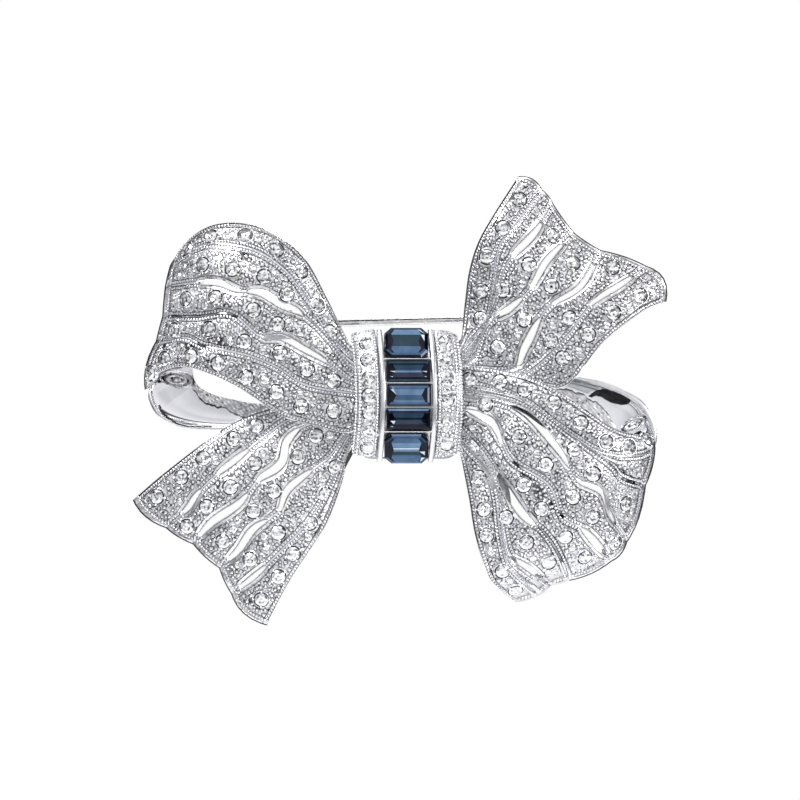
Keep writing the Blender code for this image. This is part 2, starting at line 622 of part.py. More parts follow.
def catch_base(metal):
    """A foot with two C cheeks, open to the back so that the pin can be laid in them."""
    x, y, z = CATCH
    foot_half = CATCH_HALF + CATCH_CHEEK + 0.05
    foot = [(x - foot_half, z - 2.2), (x + foot_half, z - 2.2), (x + foot_half, z + 2.2),
            (x - foot_half, z + 2.2)]
    base = plate("catch_base", foot, 1, BASE_FRONT, BASE_BACK, metal)
    outer_start = math.asin(HOUSING_SLOT / HOUSING_RADIUS)
    inner_start = math.asin(HOUSING_SLOT / SEAT_RADIUS)
    outer = [(HOUSING_RADIUS * math.cos(a), HOUSING_RADIUS * math.sin(a))
             for a in np.linspace(outer_start, math.pi / 2, 7)]
    inner = [(SEAT_RADIUS * math.cos(a), SEAT_RADIUS * math.sin(a))
             for a in np.linspace(2 * math.pi - inner_start, inner_start, 17)]
    deep = BASE_BACK - 0.3 - y
    outline = outer + [(deep, HOUSING_RADIUS), (deep, -HOUSING_RADIUS)]
    outline += [(py, -pz) for py, pz in reversed(outer)] + inner
    for name, low in (("left_c_cheek", x - CATCH_HALF - CATCH_CHEEK), ("right_c_cheek", x + CATCH_HALF)):
        cheek = plate(name, [(y + py, z + pz) for py, pz in outline], 0, low, low + CATCH_CHEEK, metal)
        combine(base, cheek, "UNION")
    return base


def catch_roller(metal):
    """A slotted barrel on two necks, with a thumb tab, and its origin on its own axis."""

    def outline(radius, reach):
        start = math.asin(ROLLER_SLOT / radius)
        tab = math.asin(TAB_HALF / radius)
        low = 2 * math.pi + TAB_ANGLE - tab
        high = 2 * math.pi + TAB_ANGLE + tab
        points = [(radius * math.cos(a), radius * math.sin(a)) for a in np.linspace(start, low, 16)]
        along = Vector((math.cos(TAB_ANGLE), math.sin(TAB_ANGLE)))
        across = Vector((-along.y, along.x))
        if reach:
            points += [tuple(along * reach - across * TAB_HALF), tuple(along * reach + across * TAB_HALF)]
        else:
            third = (high - low) / 3
            points += [(radius * math.cos(low + third * k), radius * math.sin(low + third * k))
                       for k in (1, 2)]
        points += [(radius * math.cos(a), radius * math.sin(a))
                   for a in np.linspace(high, 2 * math.pi - start, 4)]
        return points + [(-ROLLER_SLOT, -ROLLER_SLOT), (-ROLLER_SLOT, ROLLER_SLOT)]

    neck_end = CATCH_HALF + CATCH_CHEEK + 0.05
    barrel_end = CATCH_HALF - SEAM
    sections = [(-neck_end, NECK_RADIUS, 0), (-barrel_end, NECK_RADIUS, 0),
                (-barrel_end, ROLLER_RADIUS, TAB_REACH), (barrel_end, ROLLER_RADIUS, TAB_REACH),
                (barrel_end, NECK_RADIUS, 0), (neck_end, NECK_RADIUS, 0)]
    loops = [[(x, a, b) for a, b in outline(radius, reach)] for x, radius, reach in sections]
    return loft("catch_roller", loops, metal, CATCH)


def main():
    clear_scene()
    silver = make_material("rhodium_plate", (0.83, 0.83, 0.85), 0.18, 1.0)
    steel = make_material("pin_steel", (0.72, 0.73, 0.75), 0.22, 1.0)
    blue = make_material("blue_glass", (0.05, 0.12, 0.25), 0.05, 0.0)
    clear = make_material("clear_glass", (0.9, 0.93, 0.96), 0.03, 0.0)

    ribbon("left_loop", LEFT_LOOP, SHEET, silver)
    ribbon("right_loop", RIGHT_LOOP, SHEET, silver)
    ribbon("left_tail", LEFT_TAIL, SHEET * 0.9, silver)
    ribbon("right_tail", RIGHT_TAIL, SHEET * 0.9, silver)
    ribbon("left_loop_return", LEFT_RETURN, BAND, silver, hidden_start=False)
    ribbon("right_loop_return", RIGHT_RETURN, BAND, silver, hidden_start=False)

    knot_channel(silver)
    heights = (KNOT_TOP,) + DIVIDERS + (KNOT_BOTTOM,)
    for number, (top, bottom) in enumerate(zip(heights, heights[1:]), 1):
        at_end = number in (1, len(heights) - 1)
        high, corner = (BLUE_END, BLUE_CUT) if at_end else (BLUE_MID, 0.12)
        step_cut(f"blue_stone_{number}", BLUE_LONG, high, corner, blue, mid_height(top, bottom))

    for name, side, stones in (("left", -1, LEFT_COLLAR_STONES), ("right", 1, RIGHT_COLLAR_STONES)):
        collar(f"{name}_collar", side, stones, silver)
        for number, (stone_x, z) in enumerate(stones, 1):
            round_stone(f"{name}_collar_stone_{number}", side, stone_x, z, clear)

    back_plate(silver)
    hinge_base(silver)
    hinge_rivet(steel)
    pin_stem(steel)
    catch_base(silver)
    catch_roller(silver)


main()
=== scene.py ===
"""The looks of the bow brooch: cast and pierced ribbons with milgrain edges, grains and round crystals,
polished return bands, a knot of blue step-cut stones, and the pin and catch on the back.

Sizes are in millimetres until a mesh is made. The front faces -Y, and +Z is up.
"""

import math

import bpy
import numpy as np
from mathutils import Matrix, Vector


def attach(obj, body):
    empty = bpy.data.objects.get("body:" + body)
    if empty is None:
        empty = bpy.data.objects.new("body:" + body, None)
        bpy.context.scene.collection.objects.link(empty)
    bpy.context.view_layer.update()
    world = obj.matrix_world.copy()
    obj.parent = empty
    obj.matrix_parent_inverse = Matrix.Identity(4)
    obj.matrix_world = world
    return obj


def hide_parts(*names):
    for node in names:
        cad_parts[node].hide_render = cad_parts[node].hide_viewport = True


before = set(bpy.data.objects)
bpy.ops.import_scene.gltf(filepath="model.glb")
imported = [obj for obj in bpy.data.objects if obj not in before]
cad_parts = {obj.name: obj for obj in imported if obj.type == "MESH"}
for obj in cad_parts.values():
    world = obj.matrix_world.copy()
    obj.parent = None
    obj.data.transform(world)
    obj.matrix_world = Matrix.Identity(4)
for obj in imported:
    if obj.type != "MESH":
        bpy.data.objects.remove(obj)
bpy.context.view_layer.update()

MM = 0.001
RANDOM = np.random.default_rng(11)

# ---- Sizes shared with the part, in millimetres ----

SHEET = 1.1  # thickness of the loops' cast sheets
TAIL_SHEET = 0.99
BAND = 0.7  # thickness of the loops' return bands
RIB_BULGE = 0.3  # how far a rib's middle stands above its edges
COLLAR_EDGE = 4.75  # how far from the middle the ribbons end, under the collars
GATHER = 0.72  # how much narrower the ribbons are there than where they leave the collars
END_REACH = 0.3  # how far a ribbon's end stands past its veins' last points
KNOT_CREST = 9.0  # how far the knot's rims stand in front of the back face
KNOT_RADIUS = 11.0
KNOT_TOP = 7.4
KNOT_BOTTOM = -7.15
KNOT_BOW = 0.5  # sideways bow of the channel at its ends
KNOT_SHIFT = 0.1  # how far its middle stands to the right
KNOT_STEPS = 90  # cross sections along the knot's arc
RIM_WIDTH = 0.55
RIM_HEIGHT = 0.95
FLOOR = 0.7  # thickness of the channel's floor
CHANNEL_HALF = 2.42  # half the width between the rims
CHANNEL_OUTER = CHANNEL_HALF + RIM_WIDTH
KNOT_CENTRE_Y = KNOT_RADIUS - KNOT_CREST
KNOT_CENTRE_Z = (KNOT_TOP + KNOT_BOTTOM) / 2
LEG_END = 6.35  # height at which the knot's legs meet the back plate
RIM_SHORT = 0.25  # how much shorter the channel is at each end than the row of stones
COLLAR_TOP_SHORT = -0.15  # how much lower the collars' upper ends are than the end stone's
COLLAR_SHORT = 0.45  # how much higher their lower ends are than the lower end stone's
BLUE_LONG = 4.7  # a blue stone's length across the channel
BLUE_MID = 2.32  # height of the middle three
BLUE_END = 3.68  # height of the end two
BLUE_CUT = 0.75  # cut corner of the end two
MID_CUT = 0.12  # cut corner of the middle three
COLLAR_STONE = 1.5  # diameter
DIVIDERS = (4.05, 1.5, -1.05, -3.65)  # heights of the bars between the blue stones

# ---- Sizes of the fine work ----

STATIONS = 170  # cross sections along a fine ribbon
LIP = 0.5  # width of the raised edge along a vein
FLOOR_AT = LIP + 0.14  # how far from the vein a rib's floor begins
LIPS_SHARE = 0.42  # the most of a narrow rib's width that the lip on one side takes
LIP_GROOVE = 0.14  # how far the edge falls at the vein itself
FLOOR_DROP = 0.22  # how far a rib's floor lies below its lips
CREASE_DROP = 0.8  # how deep a ribbon's dark creases are
BEAD = 0.165  # radius of a milgrain bead
BEAD_STEP = 0.35  # between two beads
BEAD_INSET = 0.3  # how far from the vein the beads stand
LEAST_SCALE = 0.26  # a rib narrowed further than this has no beads
LEAST_BEAD = 0.62  # and a bead is never smaller than this share of its size
END_RIM = 3  # stations taken by the closing rim at a ribbon's end
END_BEADS = STATIONS - END_RIM - 2.2  # the station of the row of beads along the end
SLOT_BARE = 0.15  # a slot wider than this has plain edges
STONE = 0.80  # radius of a round crystal
STONE_LEAN = 0.045  # how far off its seat's centre a crystal may lie
SMALL_STONES = (0.36, 0.48)  # radii of the small crystals between the large ones
SMALL_PER_MM2 = 0.12
SMALL_MARGIN = 0.45  # how far from a vein they stay
GRAIN_SIZES = (0.17, 0.25)  # radii
GRAINS_PER_MM2 = 9.0
GRAIN_MARGIN = 0.42
SCATTER_TRIES = 5  # places tried for each one wanted
TURN = 6.28  # a full turn, in radians
PRONG_AT = 1.08  # a prong's distance from its crystal's centre and its radius, as shares of the seat's
PRONG_RADIUS = 0.17
PRONG_RISE = 0.1  # how far a prong and a crystal stand above their seat
STONE_RISE = 0.06
STONE_SHARE = 0.93  # of its seat's radius
RIM_SHARE = 1.2  # a seat's outer radius as a share of its crystal's
RETURN_COLUMNS = 71  # points across a return band
FOLD_THICKNESS = 0.35  # of the strip where a loop turns into its return band
FOLD_STEPS = 17  # points along that strip, and over it
FOLD_ROWS = 9

# ---- The ribbons ----

# "veins" are lines of (x, z) points from the knot outwards, with a rib between each two. "slots" are
# (vein, start, end, width). "crest" is the height of the ribbon's middle at shares of its length, and
# "drops" is how far its first and last edges fall back. "end_bulges" is how far each rib's end bulges.
# "stones" are the places of the large crystals, and "creases" are (start, end, width) of dark folds.

LEFT_LOOP = {
    "veins": [
        [(-6.4, 6.2), (-8.5, 10.3), (-10.8, 14.5), (-13.9, 17.25), (-17.3, 18.4), (-20.5, 18.35),
         (-22.95, 17.25), (-24.5, 15.6)],
        [(-6.4, 4.7), (-7.7, 5.9), (-9.3, 8.0), (-10.8, 10.5), (-13, 13.4), (-16.1, 15.45),
         (-20.1, 16.2), (-22.5, 15.8), (-25.2, 14.2)],
        [(-6.4, 3.4), (-8.5, 6.3), (-10.9, 8.6), (-13.3, 9.8), (-15.5, 11.0), (-17.9, 11.2),
         (-20.1, 12.05), (-22.2, 12.1), (-25.65, 11.8)],
        [(-6.4, 1.9), (-8.5, 3.65), (-10.95, 5.05), (-13.3, 6.3), (-15.6, 6.45), (-18.6, 8.7),
         (-22.3, 8.5), (-25.9, 8.6)],
        [(-6.4, 0.5), (-10.8, 1.3), (-13.9, 3.2), (-17, 4.45), (-21.4, 5.35), (-23.7, 6.3),
         (-26.6, 6.0)],
        [(-6.4, -3.8), (-9.5, -3.1), (-13.3, -2.0), (-17, 0.45), (-20.8, 2.35), (-24, 3.2),
         (-26.75, 2.4), (-27.9, 1.0)],
    ],
    "slots": [
        (2, (-10.8, 8.6), (-17, 10.95), 0.72),
        (2, (-17.5, 10.95), (-22.3, 12.1), 0.45),
        (3, (-8.5, 3.65), (-15.6, 6.45), 0.5),
    ],
    "crest": [(0, 4.4), (0.1, 4.6), (0.3, 6.0), (0.55, 7.0), (0.75, 6.4), (0.9, 4.5), (1, 2.4)],
    "drops": (2.6, 0.9),
    "end_bulges": [0.1, 0.0, 0.0, 0.0, 0.5],
    "stones": [
        (-8.3, 6.9), (-9.55, 9.7), (-11.3, 13.3), (-13.9, 15.5), (-17.2, 17.1), (-20.9, 17.0),
        (-23.4, 15.65), (-12.8, 10.8), (-15.15, 12.7), (-18.5, 13.45), (-21.7, 14.0), (-13.75, 7.7),
        (-16.25, 9.15), (-20.3, 10.5), (-23.5, 10.4), (-7.85, 1.7), (-10.65, 2.9), (-13.5, 4.65),
        (-17.2, 5.85), (-21, 7.2), (-24.8, 7.1), (-7.85, -1.5), (-11.3, -1.0), (-13.9, 0.55),
        (-17, 2.1), (-20, 3.5), (-22.9, 4.3), (-25.8, 4.05), (-27.4, 2.55),
    ],
    "creases": [
        ((-17.9, 15.1), (-16.3, 14.7), 0.3), ((-18, 8.5), (-25.1, 8.7), 0.25),
        ((-21.3, 5.4), (-26, 5.5), 0.25), ((-20.1, 5.9), (-18.6, 5.2), 0.3),
    ],
}

RIGHT_LOOP = {
    "veins": [
        [(5.5, -6.0), (6.4, -10.4), (7.05, -14.4), (8.15, -18.2), (9.05, -19.85), (11.25, -21.7)],
        [(5.6, -4.7), (8.3, -7.5), (9.2, -10), (9.8, -15), (10.9, -18.3), (13.8, -21.0)],
        [(5.6, -4.0), (8.3, -7.0), (9.6, -10.2), (10.2, -14.5), (10.9, -16.8), (12.5, -17.9),
         (15, -19.9)],
        [(5.6, -3.3), (8.2, -6.2), (10.3, -9.65), (12.3, -12.6), (14.3, -14.2), (15.8, -16.4),
         (17.1, -19.3)],
        [(5.5, -1.1), (8.7, -2.55), (10, -5), (11.2, -6.9), (14.8, -9.25), (16.3, -12.6),
         (18.6, -14.1), (21.5, -17.3)],
        [(5.5, 0.1), (9.8, -0.6), (12.9, -2.1), (16.2, -6.0), (17.8, -8.7), (20.4, -10),
         (21.45, -12.6), (23.2, -15.2)],
        [(5.5, 0.8), (11.5, -0.3), (17.5, -4.3), (21.3, -7.1), (22.7, -8.6), (25.1, -9.3)],
        [(5.5, 1.4), (11.5, 0.0), (16.5, -3.5), (20.5, -5.9), (24.5, -6.2), (26.15, -5.5)],
        [(5.3, 3.3), (9.5, 3.0), (13.7, 1.8), (17.3, -0.3), (21.35, -3.05), (24.3, -3.95),
         (25.9, -4.1)],
    ],
    "slots": [
        (2, (10.9, -16.8), (14.3, -19.1), 0.5),
        (3, (9.3, -8.1), (13.5, -13.2), 0.75),
        (4, (6.2, -1.4), (9.9, -4.8), 0.6),
        (4, (18.3, -13.9), (21.1, -16.8), 0.65),
        (5, (10.9, -0.9), (16.8, -7.2), 0.7),
        (5, (17.7, -8.8), (22.3, -13.5), 0.4),
    ],
    "crest": [(0, 4.4), (0.12, 4.7), (0.35, 6.2), (0.6, 6.9), (0.8, 6.0), (0.93, 4.2), (1, 2.4)],
    "drops": (1.6, 1.1),
    "end_bulges": [0.2, 0.1, 0.1, 0.3, 0.3, 0.5, 0.2, 0.0],
    "stones": [
        (6.75, -5.2), (7.5, -8.5), (8, -11.85), (8.25, -14.6), (9.95, -18.4), (11.4, -20.5),
        (10.4, -12.65), (12.5, -15.3), (14.9, -17.5), (12.15, -9.3), (14, -11.75), (16.6, -14.75),
        (18.7, -16.95), (8.2, -0.8), (11.7, -4.2), (14.5, -7.1), (17.35, -10.55), (19.5, -12.65),
        (22, -15.5), (17.45, -5.45), (19.5, -8.1), (23.05, -11.3), (6.4, 1.85), (9.7, 1.65),
        (12.3, 0.75), (15.4, -0.6), (18.2, -2.7), (20.9, -4.7), (23.4, -5.25), (25.5, -4.5),
    ],
    # Where a rib's floor turns plain and polished, as a share of its length.
    "plain": {0: 0.9, 1: 0.9, 2: 0.94},
    "creases": [
        ((13.8, -13.5), (16.5, -17.5), 0.35), ((11.2, -6.9), (16.3, -12.7), 0.25),
        ((21.3, -6.9), (24, -9.2), 0.35),
    ],
}

LEFT_TAIL = {
    "veins": [
        [(-6.3, -0.5), (-11.5, -1.0), (-14.9, -1.3), (-19.3, -3.15), (-25.7, -7.9), (-29.15, -10.8)],
        [(-6.3, -1.5), (-12, -2.2), (-15, -4), (-17.2, -5.75), (-20, -8.0), (-22.25, -10.1),
         (-23.6, -12.0), (-25.6, -13.75)],
        [(-6.3, -2.3), (-10.6, -2.9), (-12.8, -4.6), (-13.5, -7.05), (-15.9, -8.85), (-17.9, -11.25),
         (-20.9, -13.35), (-22.7, -15.45)],
        [(-6.3, -3.6), (-8.5, -6.5), (-11.05, -8.35), (-12.85, -9.95), (-13.9, -12.3),
         (-16.4, -14), (-18.05, -16.3), (-19.9, -18.0)],
        [(-6.3, -4.8), (-8.1, -9), (-10.4, -13), (-14.3, -17.1), (-16.25, -18.95), (-18.6, -20.8)],
        [(-6.4, -6.1), (-7, -9), (-8.95, -14), (-12.5, -19.55), (-14.9, -24.1)],
    ],
    "slots": [
        (1, (-17, -5.5), (-20.2, -8.2), 0.5),
        (1, (-21.9, -9.9), (-24.1, -12.5), 0.42),
        (2, (-11.4, -3.4), (-16, -8.9), 0.8),
        (2, (-17, -10.2), (-22.1, -14.8), 0.7),
        (3, (-10.1, -7.9), (-13.7, -12.0), 0.6),
        (3, (-15, -13), (-19.2, -17.3), 0.62),
        (4, (-15, -18.2), (-18.0, -20.3), 0.42),
    ],
    "crest": [(0, 3.0), (0.3, 3.1), (0.55, 4.0), (0.8, 3.9), (1, 2.6)],
    "drops": (1.0, 0.9),
    "end_bulges": [0.5, 0.15, 0.15, 0.1, 0.7],
    "stones": [
        (-16.1, -3.05), (-18.5, -4.45), (-21.75, -6.5), (-24.05, -8.5), (-26.7, -10.6),
        (-16.25, -7.05), (-18.85, -9.55), (-21.35, -11.6), (-23.5, -13.75), (-9.75, -4.1),
        (-11.7, -6.4), (-14.2, -9.95), (-16.4, -12.1), (-19.65, -15.3), (-13.75, -14.35),
        (-16.75, -17.2), (-7.8, -7.4), (-8.8, -10.3), (-10.4, -13.4), (-12.2, -16.6),
        (-13.75, -19.05), (-15.6, -21.5),
    ],
    "creases": [((-15.9, -20.8), (-16.7, -22.8), 0.2)],
}

RIGHT_TAIL = {
    "veins": [
        [(5.6, 6.0), (6.05, 10), (6.5, 13.4), (7.45, 16.45), (9.1, 19.4), (11.6, 23.3)],
        [(6.2, 5.6), (8.2, 8.2), (9, 12), (9.75, 16.1), (12.4, 19.7), (14.1, 21.9)],
        [(6.6, 4.9), (9, 9.5), (10, 13), (11, 14.85), (13.45, 17.45), (15.3, 20.4)],
        [(7.0, 4.2), (8.4, 7.6), (10.9, 9.5), (12.9, 11.4), (14.75, 14.5), (17.5, 17.3)],
        [(7.0, 2.9), (11.2, 3.0), (12.5, 5.45), (14.7, 9.3), (18.3, 11.75), (20.4, 15.4)],
        [(7.0, 2.2), (12.5, 2.6), (16.7, 6.25), (19.6, 10), (23, 12.25), (25.2, 13.8)],
        [(7.0, 1.3), (13.9, 1.1), (16.95, 1.3), (20.55, 5.6), (24.6, 8.85), (27.3, 10.1)],
    ],
    "slots": [
        (2, (11, 14.85), (14.1, 18.75), 0.6),
        (3, (9.3, 8.6), (12.2, 10.5), 0.5),
        (3, (13, 11.5), (17, 15.95), 0.55),
        (4, (11.4, 3.3), (14.1, 8.2), 0.7),
        (4, (15.3, 9.8), (19.9, 14.3), 0.5),
        (5, (19.4, 9.8), (24, 12.9), 0.5),
    ],
    "crest": [(0, 3.0), (0.25, 3.0), (0.55, 4.1), (0.8, 4.0), (1, 2.6)],
    "drops": (0.7, 0.7),
    "end_bulges": [0.5, 0.1, -0.1, -0.1, 0.2, 0.95],
    "stones": [
        (7.7, 8.35), (7.8, 11.3), (8.35, 14.85), (10.05, 17.95), (11.85, 21.0), (10.05, 11.3),
        (12.8, 14.05), (15.4, 17.1), (9.5, 5.3), (12.3, 8.2), (15.2, 11.75), (17.5, 14.2),
        (15.1, 5.95), (17.1, 8.4), (21.7, 13.75), (16.4, 4.15), (19.1, 6.6), (21.8, 8.95),
        (24.65, 10.8),
    ],
    "creases": [((19.4, 9.8), (24, 12.9), 0.25)],
}

# The return bands. "rim" is the outer rim's width at the fold, near it and further on. "rough" is the
# line past which the band is rough, on the side given by "rough_side", and its outline, painted as shade,
# is wider from one x to the other of "undercut". "swirl" is (x, z, half length, half height, tilt) of the
# curl at the fold, "lobe" the line past which the band folds up beside it, and "fold" where the loop's end
# meets the band's start, in ribs. "line", "grey" and "shade" bound a painted dark line, a painted grey
# reflection and a painted dark reflection.

LEFT_RETURN = {
    "veins": [
        [(-27.6, 1.2), (-27.7, -0.3), (-26.45, -2.3), (-24, -3.25), (-20.3, -3.5), (-17, -3.2),
         (-14, -2.6), (-10.5, -2.3), (-COLLAR_EDGE, -2.3)],
        [(-24.2, 8.2), (-23.7, 6.4), (-23.2, 4.2), (-22.8, 1.8), (-21.1, 0.45), (-18, -0.4),
         (-15.8, -0.7), (-12, -0.8), (-COLLAR_EDGE, -0.9)],
    ],
    "slots": [],
    "crest": [(0, 0.75), (0.1, 0.9), (0.3, 1.05), (0.6, 1.1), (0.85, 1.4), (1, 1.85)],
    "drops": (0.0, 0.0),
    "bulge": 0.0,
    "end_bulges": [0.0],
    "rim_at_end": False,
    "rim": (0.62, 0.5, 0.25),
    "rough_side": 1,
    "rough": [(-30, 9), (-23.2, 9), (-23.0, 0.9), (-22.3, -0.1), (-21.3, -0.85), (-19.8, -1.1),
              (-18.8, -1.6), (-18.0, -2.1), (-15, -2.6), (0, -2.6)],
    "swirl": (-24.6, 1.95, 1.95, 0.85, -8),
    "lobe": ((-23.3, 1.0), (-26.3, -1.2)),
    "pits": 0.05,
    "line": [(-26.56, -0.88), (-26.4, -1.45), (-25.8, -2.07), (-24.8, -2.76), (-23.7, -3.1),
             (-21.0, -3.18)],
    "grey": [],
    "undercut": (-22.6, -20.0),
    "fold": (5.0, 3.3),
    "shade": [],
}

RIGHT_RETURN = {
    "veins": [
        [(23.7, -9.0), (23.2, -7.0), (22.6, -5.4), (21.9, -4.3), (20.4, -3.0), (18.4, -1.6), (16, -0.5),
         (12, 0.2), (COLLAR_EDGE, 0.2)],
        [(25.9, -6.0), (26.55, -4.9), (26.6, -3.5), (26.1, -1.95), (24.9, -0.3), (22.8, 0.95),
         (20.8, 1.65), (18, 2.3), (15.5, 2.45), (12, 1.9), (COLLAR_EDGE, 1.8)],
    ],
    "slots": [],
    "crest": [(0, 0.65), (0.1, 0.85), (0.3, 1.05), (0.6, 1.1), (0.85, 1.4), (1, 1.85)],
    "drops": (0.0, 0.0),
    "bulge": 0.0,
    "end_bulges": [0.0],
    "rim_at_end": True,
    "rim": (0.75, 0.7, 0.6),
    "rough_side": -1,
    "rough": [(0, 1.0), (16.6, 0.9), (18.5, 0.4), (19.4, -0.2), (20.3, -0.7), (21.2, -1.45), (21.8, -2.5),
              (22.1, -3.2), (22.2, -20), (30, -20)],
    "swirl": (24.15, -2.85, 1.6, 0.6, 29),
    "lobe": ((22.6, -3.4), (25.2, -1.6)),
    "pits": 0.015,
    "line": [],
    "grey": [(17.0, 2.2), (17.6, 2.09), (19.98, 1.32), (20.67, 0.97), (19.14, 0.35), (17.0, 1.15)],
    "undercut": (0, 0),
    "fold": (6.0, 8.0),
    "shade": [(19.2, 0.1), (20.0, 0.75), (20.9, 0.97), (21.9, 0.68), (22.9, 0.28), (23.7, -0.15),
              (23.9, -0.45), (23.45, -0.83), (22.8, -0.88), (22.2, -0.75), (21.6, -0.6),
              (21.15, -0.3), (20.6, 0.0), (20.1, 0.12), (19.6, -0.1)],
}

# A return band's height from its outer edge (0) over its rim (to 1) and across its trough (to 2).
TROUGH = [(0, 0.1), (0.2, 0.19), (0.5, 0.24), (0.8, 0.2), (1.0, 0.08), (1.05, -0.08), (1.3, -0.22),
          (1.6, -0.18), (2.0, 0.06)]
TROUGH_START = 1.02  # the rim's own edge stays free of the rough metal and its outline

# The collars' crystals, as (distance from the middle, z).
LEFT_COLLAR_STONES = [(4.35, 6.0), (4.25, 4.2), (4.05, 2.1), (4.1, 0.15), (4.0, -1.8), (3.95, -3.9),
                      (4.25, -5.75)]
RIGHT_COLLAR_STONES = [(3.75, 6.3), (3.85, 4.4), (3.95, 2.1), (4.05, -0.2), (3.95, -2.9), (4.1, -5.3)]


# ---- Materials ----


def node_material(name):
    """A new material with its shader, its node tree and a node of object coordinates."""
    made = bpy.data.materials.new(name)
    made.use_nodes = True
    tree = made.node_tree
    place = tree.nodes.new("ShaderNodeTexCoord")
    return made, tree, tree.nodes["Principled BSDF"], place.outputs["Object"]


def noise(tree, place, per_mm, stretch=(1, 1, 1)):
    """Noise with this many cells in a millimetre, stretched along the axes."""
    mapping = tree.nodes.new("ShaderNodeMapping")
    mapping.inputs["Scale"].default_value = [per_mm / MM * k for k in stretch]
    tree.links.new(place, mapping.inputs["Vector"])
    cells = tree.nodes.new("ShaderNodeTexNoise")
    cells.inputs["Scale"].default_value = 1.0
    cells.inputs["Detail"].default_value = 3.0
    tree.links.new(mapping.outputs["Vector"], cells.inputs["Vector"])
    return cells.outputs["Fac"]


def ramp(tree, factor, stops):
    """A colour ramp over this factor, with (position, colour) stops."""
    made = tree.nodes.new("ShaderNodeValToRGB")
    tree.links.new(factor, made.inputs["Fac"])
    elements = made.color_ramp.elements
    while len(elements) < len(stops):
        elements.new(0.5)
    for element, (position, colour) in zip(elements, stops):
        element.position = position
        element.color = (*colour, 1)
    return made.outputs["Color"]


def grey_ramp(tree, factor, low, high):
    """A ramp between two greys over the middle of the factor's range."""
    return ramp(tree, factor, [(0.3, (low, low, low)), (0.7, (high, high, high))])


def times(tree, first, second):
    """The product of two colours."""
    made = tree.nodes.new("ShaderNodeMix")
    made.data_type = "RGBA"
    made.blend_type = "MULTIPLY"
    made.inputs["Factor"].default_value = 1.0
    tree.links.new(first, made.inputs[6])
    tree.links.new(second, made.inputs[7])
    return made.outputs[2]


# Near black: painted shade in the metals' pits, and painted dark reflections in the crystals' specks.
PAINTED_PIT_DARK = (0.05, 0.05, 0.055)


def surface(name, dark, light, roughness, metallic=1.0, per_mm=3.0, bump=0.1, depth=0.01,
            stretch=(1, 1, 1), coat=0.0, pits=None):
    """A surface whose colour, roughness and relief vary at a small real scale, with near-black pits of
    painted shade if asked.
    """
    made, tree, shader, place = node_material(name)
    cells = noise(tree, place, per_mm, stretch=stretch)
    stops = [(0.3, dark), (0.7, light)]
    if pits is not None:
        stops = [(pits - 0.02, PAINTED_PIT_DARK), (pits + 0.02, dark), (0.68, light)]
    tree.links.new(ramp(tree, cells, stops), shader.inputs["Base Color"])
    broad = noise(tree, place, per_mm * 0.37, stretch=stretch)
    tree.links.new(grey_ramp(tree, broad, roughness[0], roughness[1]), shader.inputs["Roughness"])
    shader.inputs["Metallic"].default_value = metallic
    shader.inputs["Coat Weight"].default_value = coat
    relief = tree.nodes.new("ShaderNodeBump")
    relief.inputs["Strength"].default_value = bump
    relief.inputs["Distance"].default_value = depth * MM
    tree.links.new(noise(tree, place, per_mm * 2.1, stretch=stretch), relief.inputs["Height"])
    tree.links.new(relief.outputs["Normal"], shader.inputs["Normal"])
    return made


LIP_METAL = surface("lip_metal", (0.8, 0.8, 0.82), (0.98, 0.98, 1.0), (0.2, 0.38), per_mm=4, bump=0.3,
                    pits=0.36)
BEAD_METAL = surface("bead_metal", (0.9, 0.9, 0.93), (0.98, 0.98, 1.0), (0.2, 0.32), per_mm=5)
# The ribs' sunken floors: a little darker than the lips and beads as painted shade, with near-black pits of
# painted shade.
FLOOR_METAL = surface("floor_metal", (0.72, 0.72, 0.74), (0.92, 0.92, 0.95), (0.3, 0.5), per_mm=5,
                      bump=0.5, depth=0.03, pits=0.41)
# Near black, painted as shade: in grooves, on seat walls, along fine lines and in rings around beads and
# grains.
PAINTED_SHADE_METAL = surface("painted_shade_metal", (0.02, 0.02, 0.022), (0.08, 0.08, 0.085), (0.4, 0.6), per_mm=5)
BACK_METAL = surface("ribbon_back_metal", (0.6, 0.6, 0.62), (0.78, 0.78, 0.8), (0.25, 0.42), per_mm=1.2,
                     bump=0.35, depth=0.02)
POLISHED = surface("polished_metal", (0.84, 0.84, 0.87), (0.9, 0.9, 0.93), (0.04, 0.09), per_mm=0.6,
                   bump=0.03)
# A painted dark reflection on the right return band's polished trough.
PAINTED_DARK_REFLECTION = surface("painted_dark_reflection", (0.012, 0.012, 0.014), (0.035, 0.035, 0.04), (0.05, 0.12),
                        metallic=0.8, per_mm=1.5, bump=0.05)
ROUGH_LIP = surface("rough_lip_metal", (0.5, 0.5, 0.52), (0.86, 0.86, 0.88), (0.3, 0.5), per_mm=2.5,
                    bump=0.6, depth=0.03, pits=0.33)
# A painted grey reflection on the right return band.
PAINTED_GREY_REFLECTION = surface("painted_grey_reflection", (0.46, 0.49, 0.49), (0.6, 0.63, 0.63), (0.1, 0.2), per_mm=0.8,
                      bump=0.03)
RIM_METAL = surface("satin_rim_metal", (0.78, 0.78, 0.8), (0.9, 0.9, 0.93), (0.24, 0.34), per_mm=1.5,
                    bump=0.1)
# Its near-black specks are painted dark reflections.
CRYSTAL = surface("clear_crystal", (0.7, 0.71, 0.73), (0.97, 0.97, 0.98), (0.02, 0.06), metallic=0.8,
                  per_mm=3.2, bump=0.05, coat=1.0, pits=0.36)
FINDING_METAL = surface("finding_metal", (0.66, 0.66, 0.68), (0.8, 0.8, 0.82), (0.16, 0.3), per_mm=2.0,
                        bump=0.2)
STEEL = surface("pin_steel_brushed", (0.7, 0.71, 0.73), (0.86, 0.87, 0.89), (0.05, 0.12), per_mm=4.0,
                bump=0.08, stretch=(0.08, 1, 1))
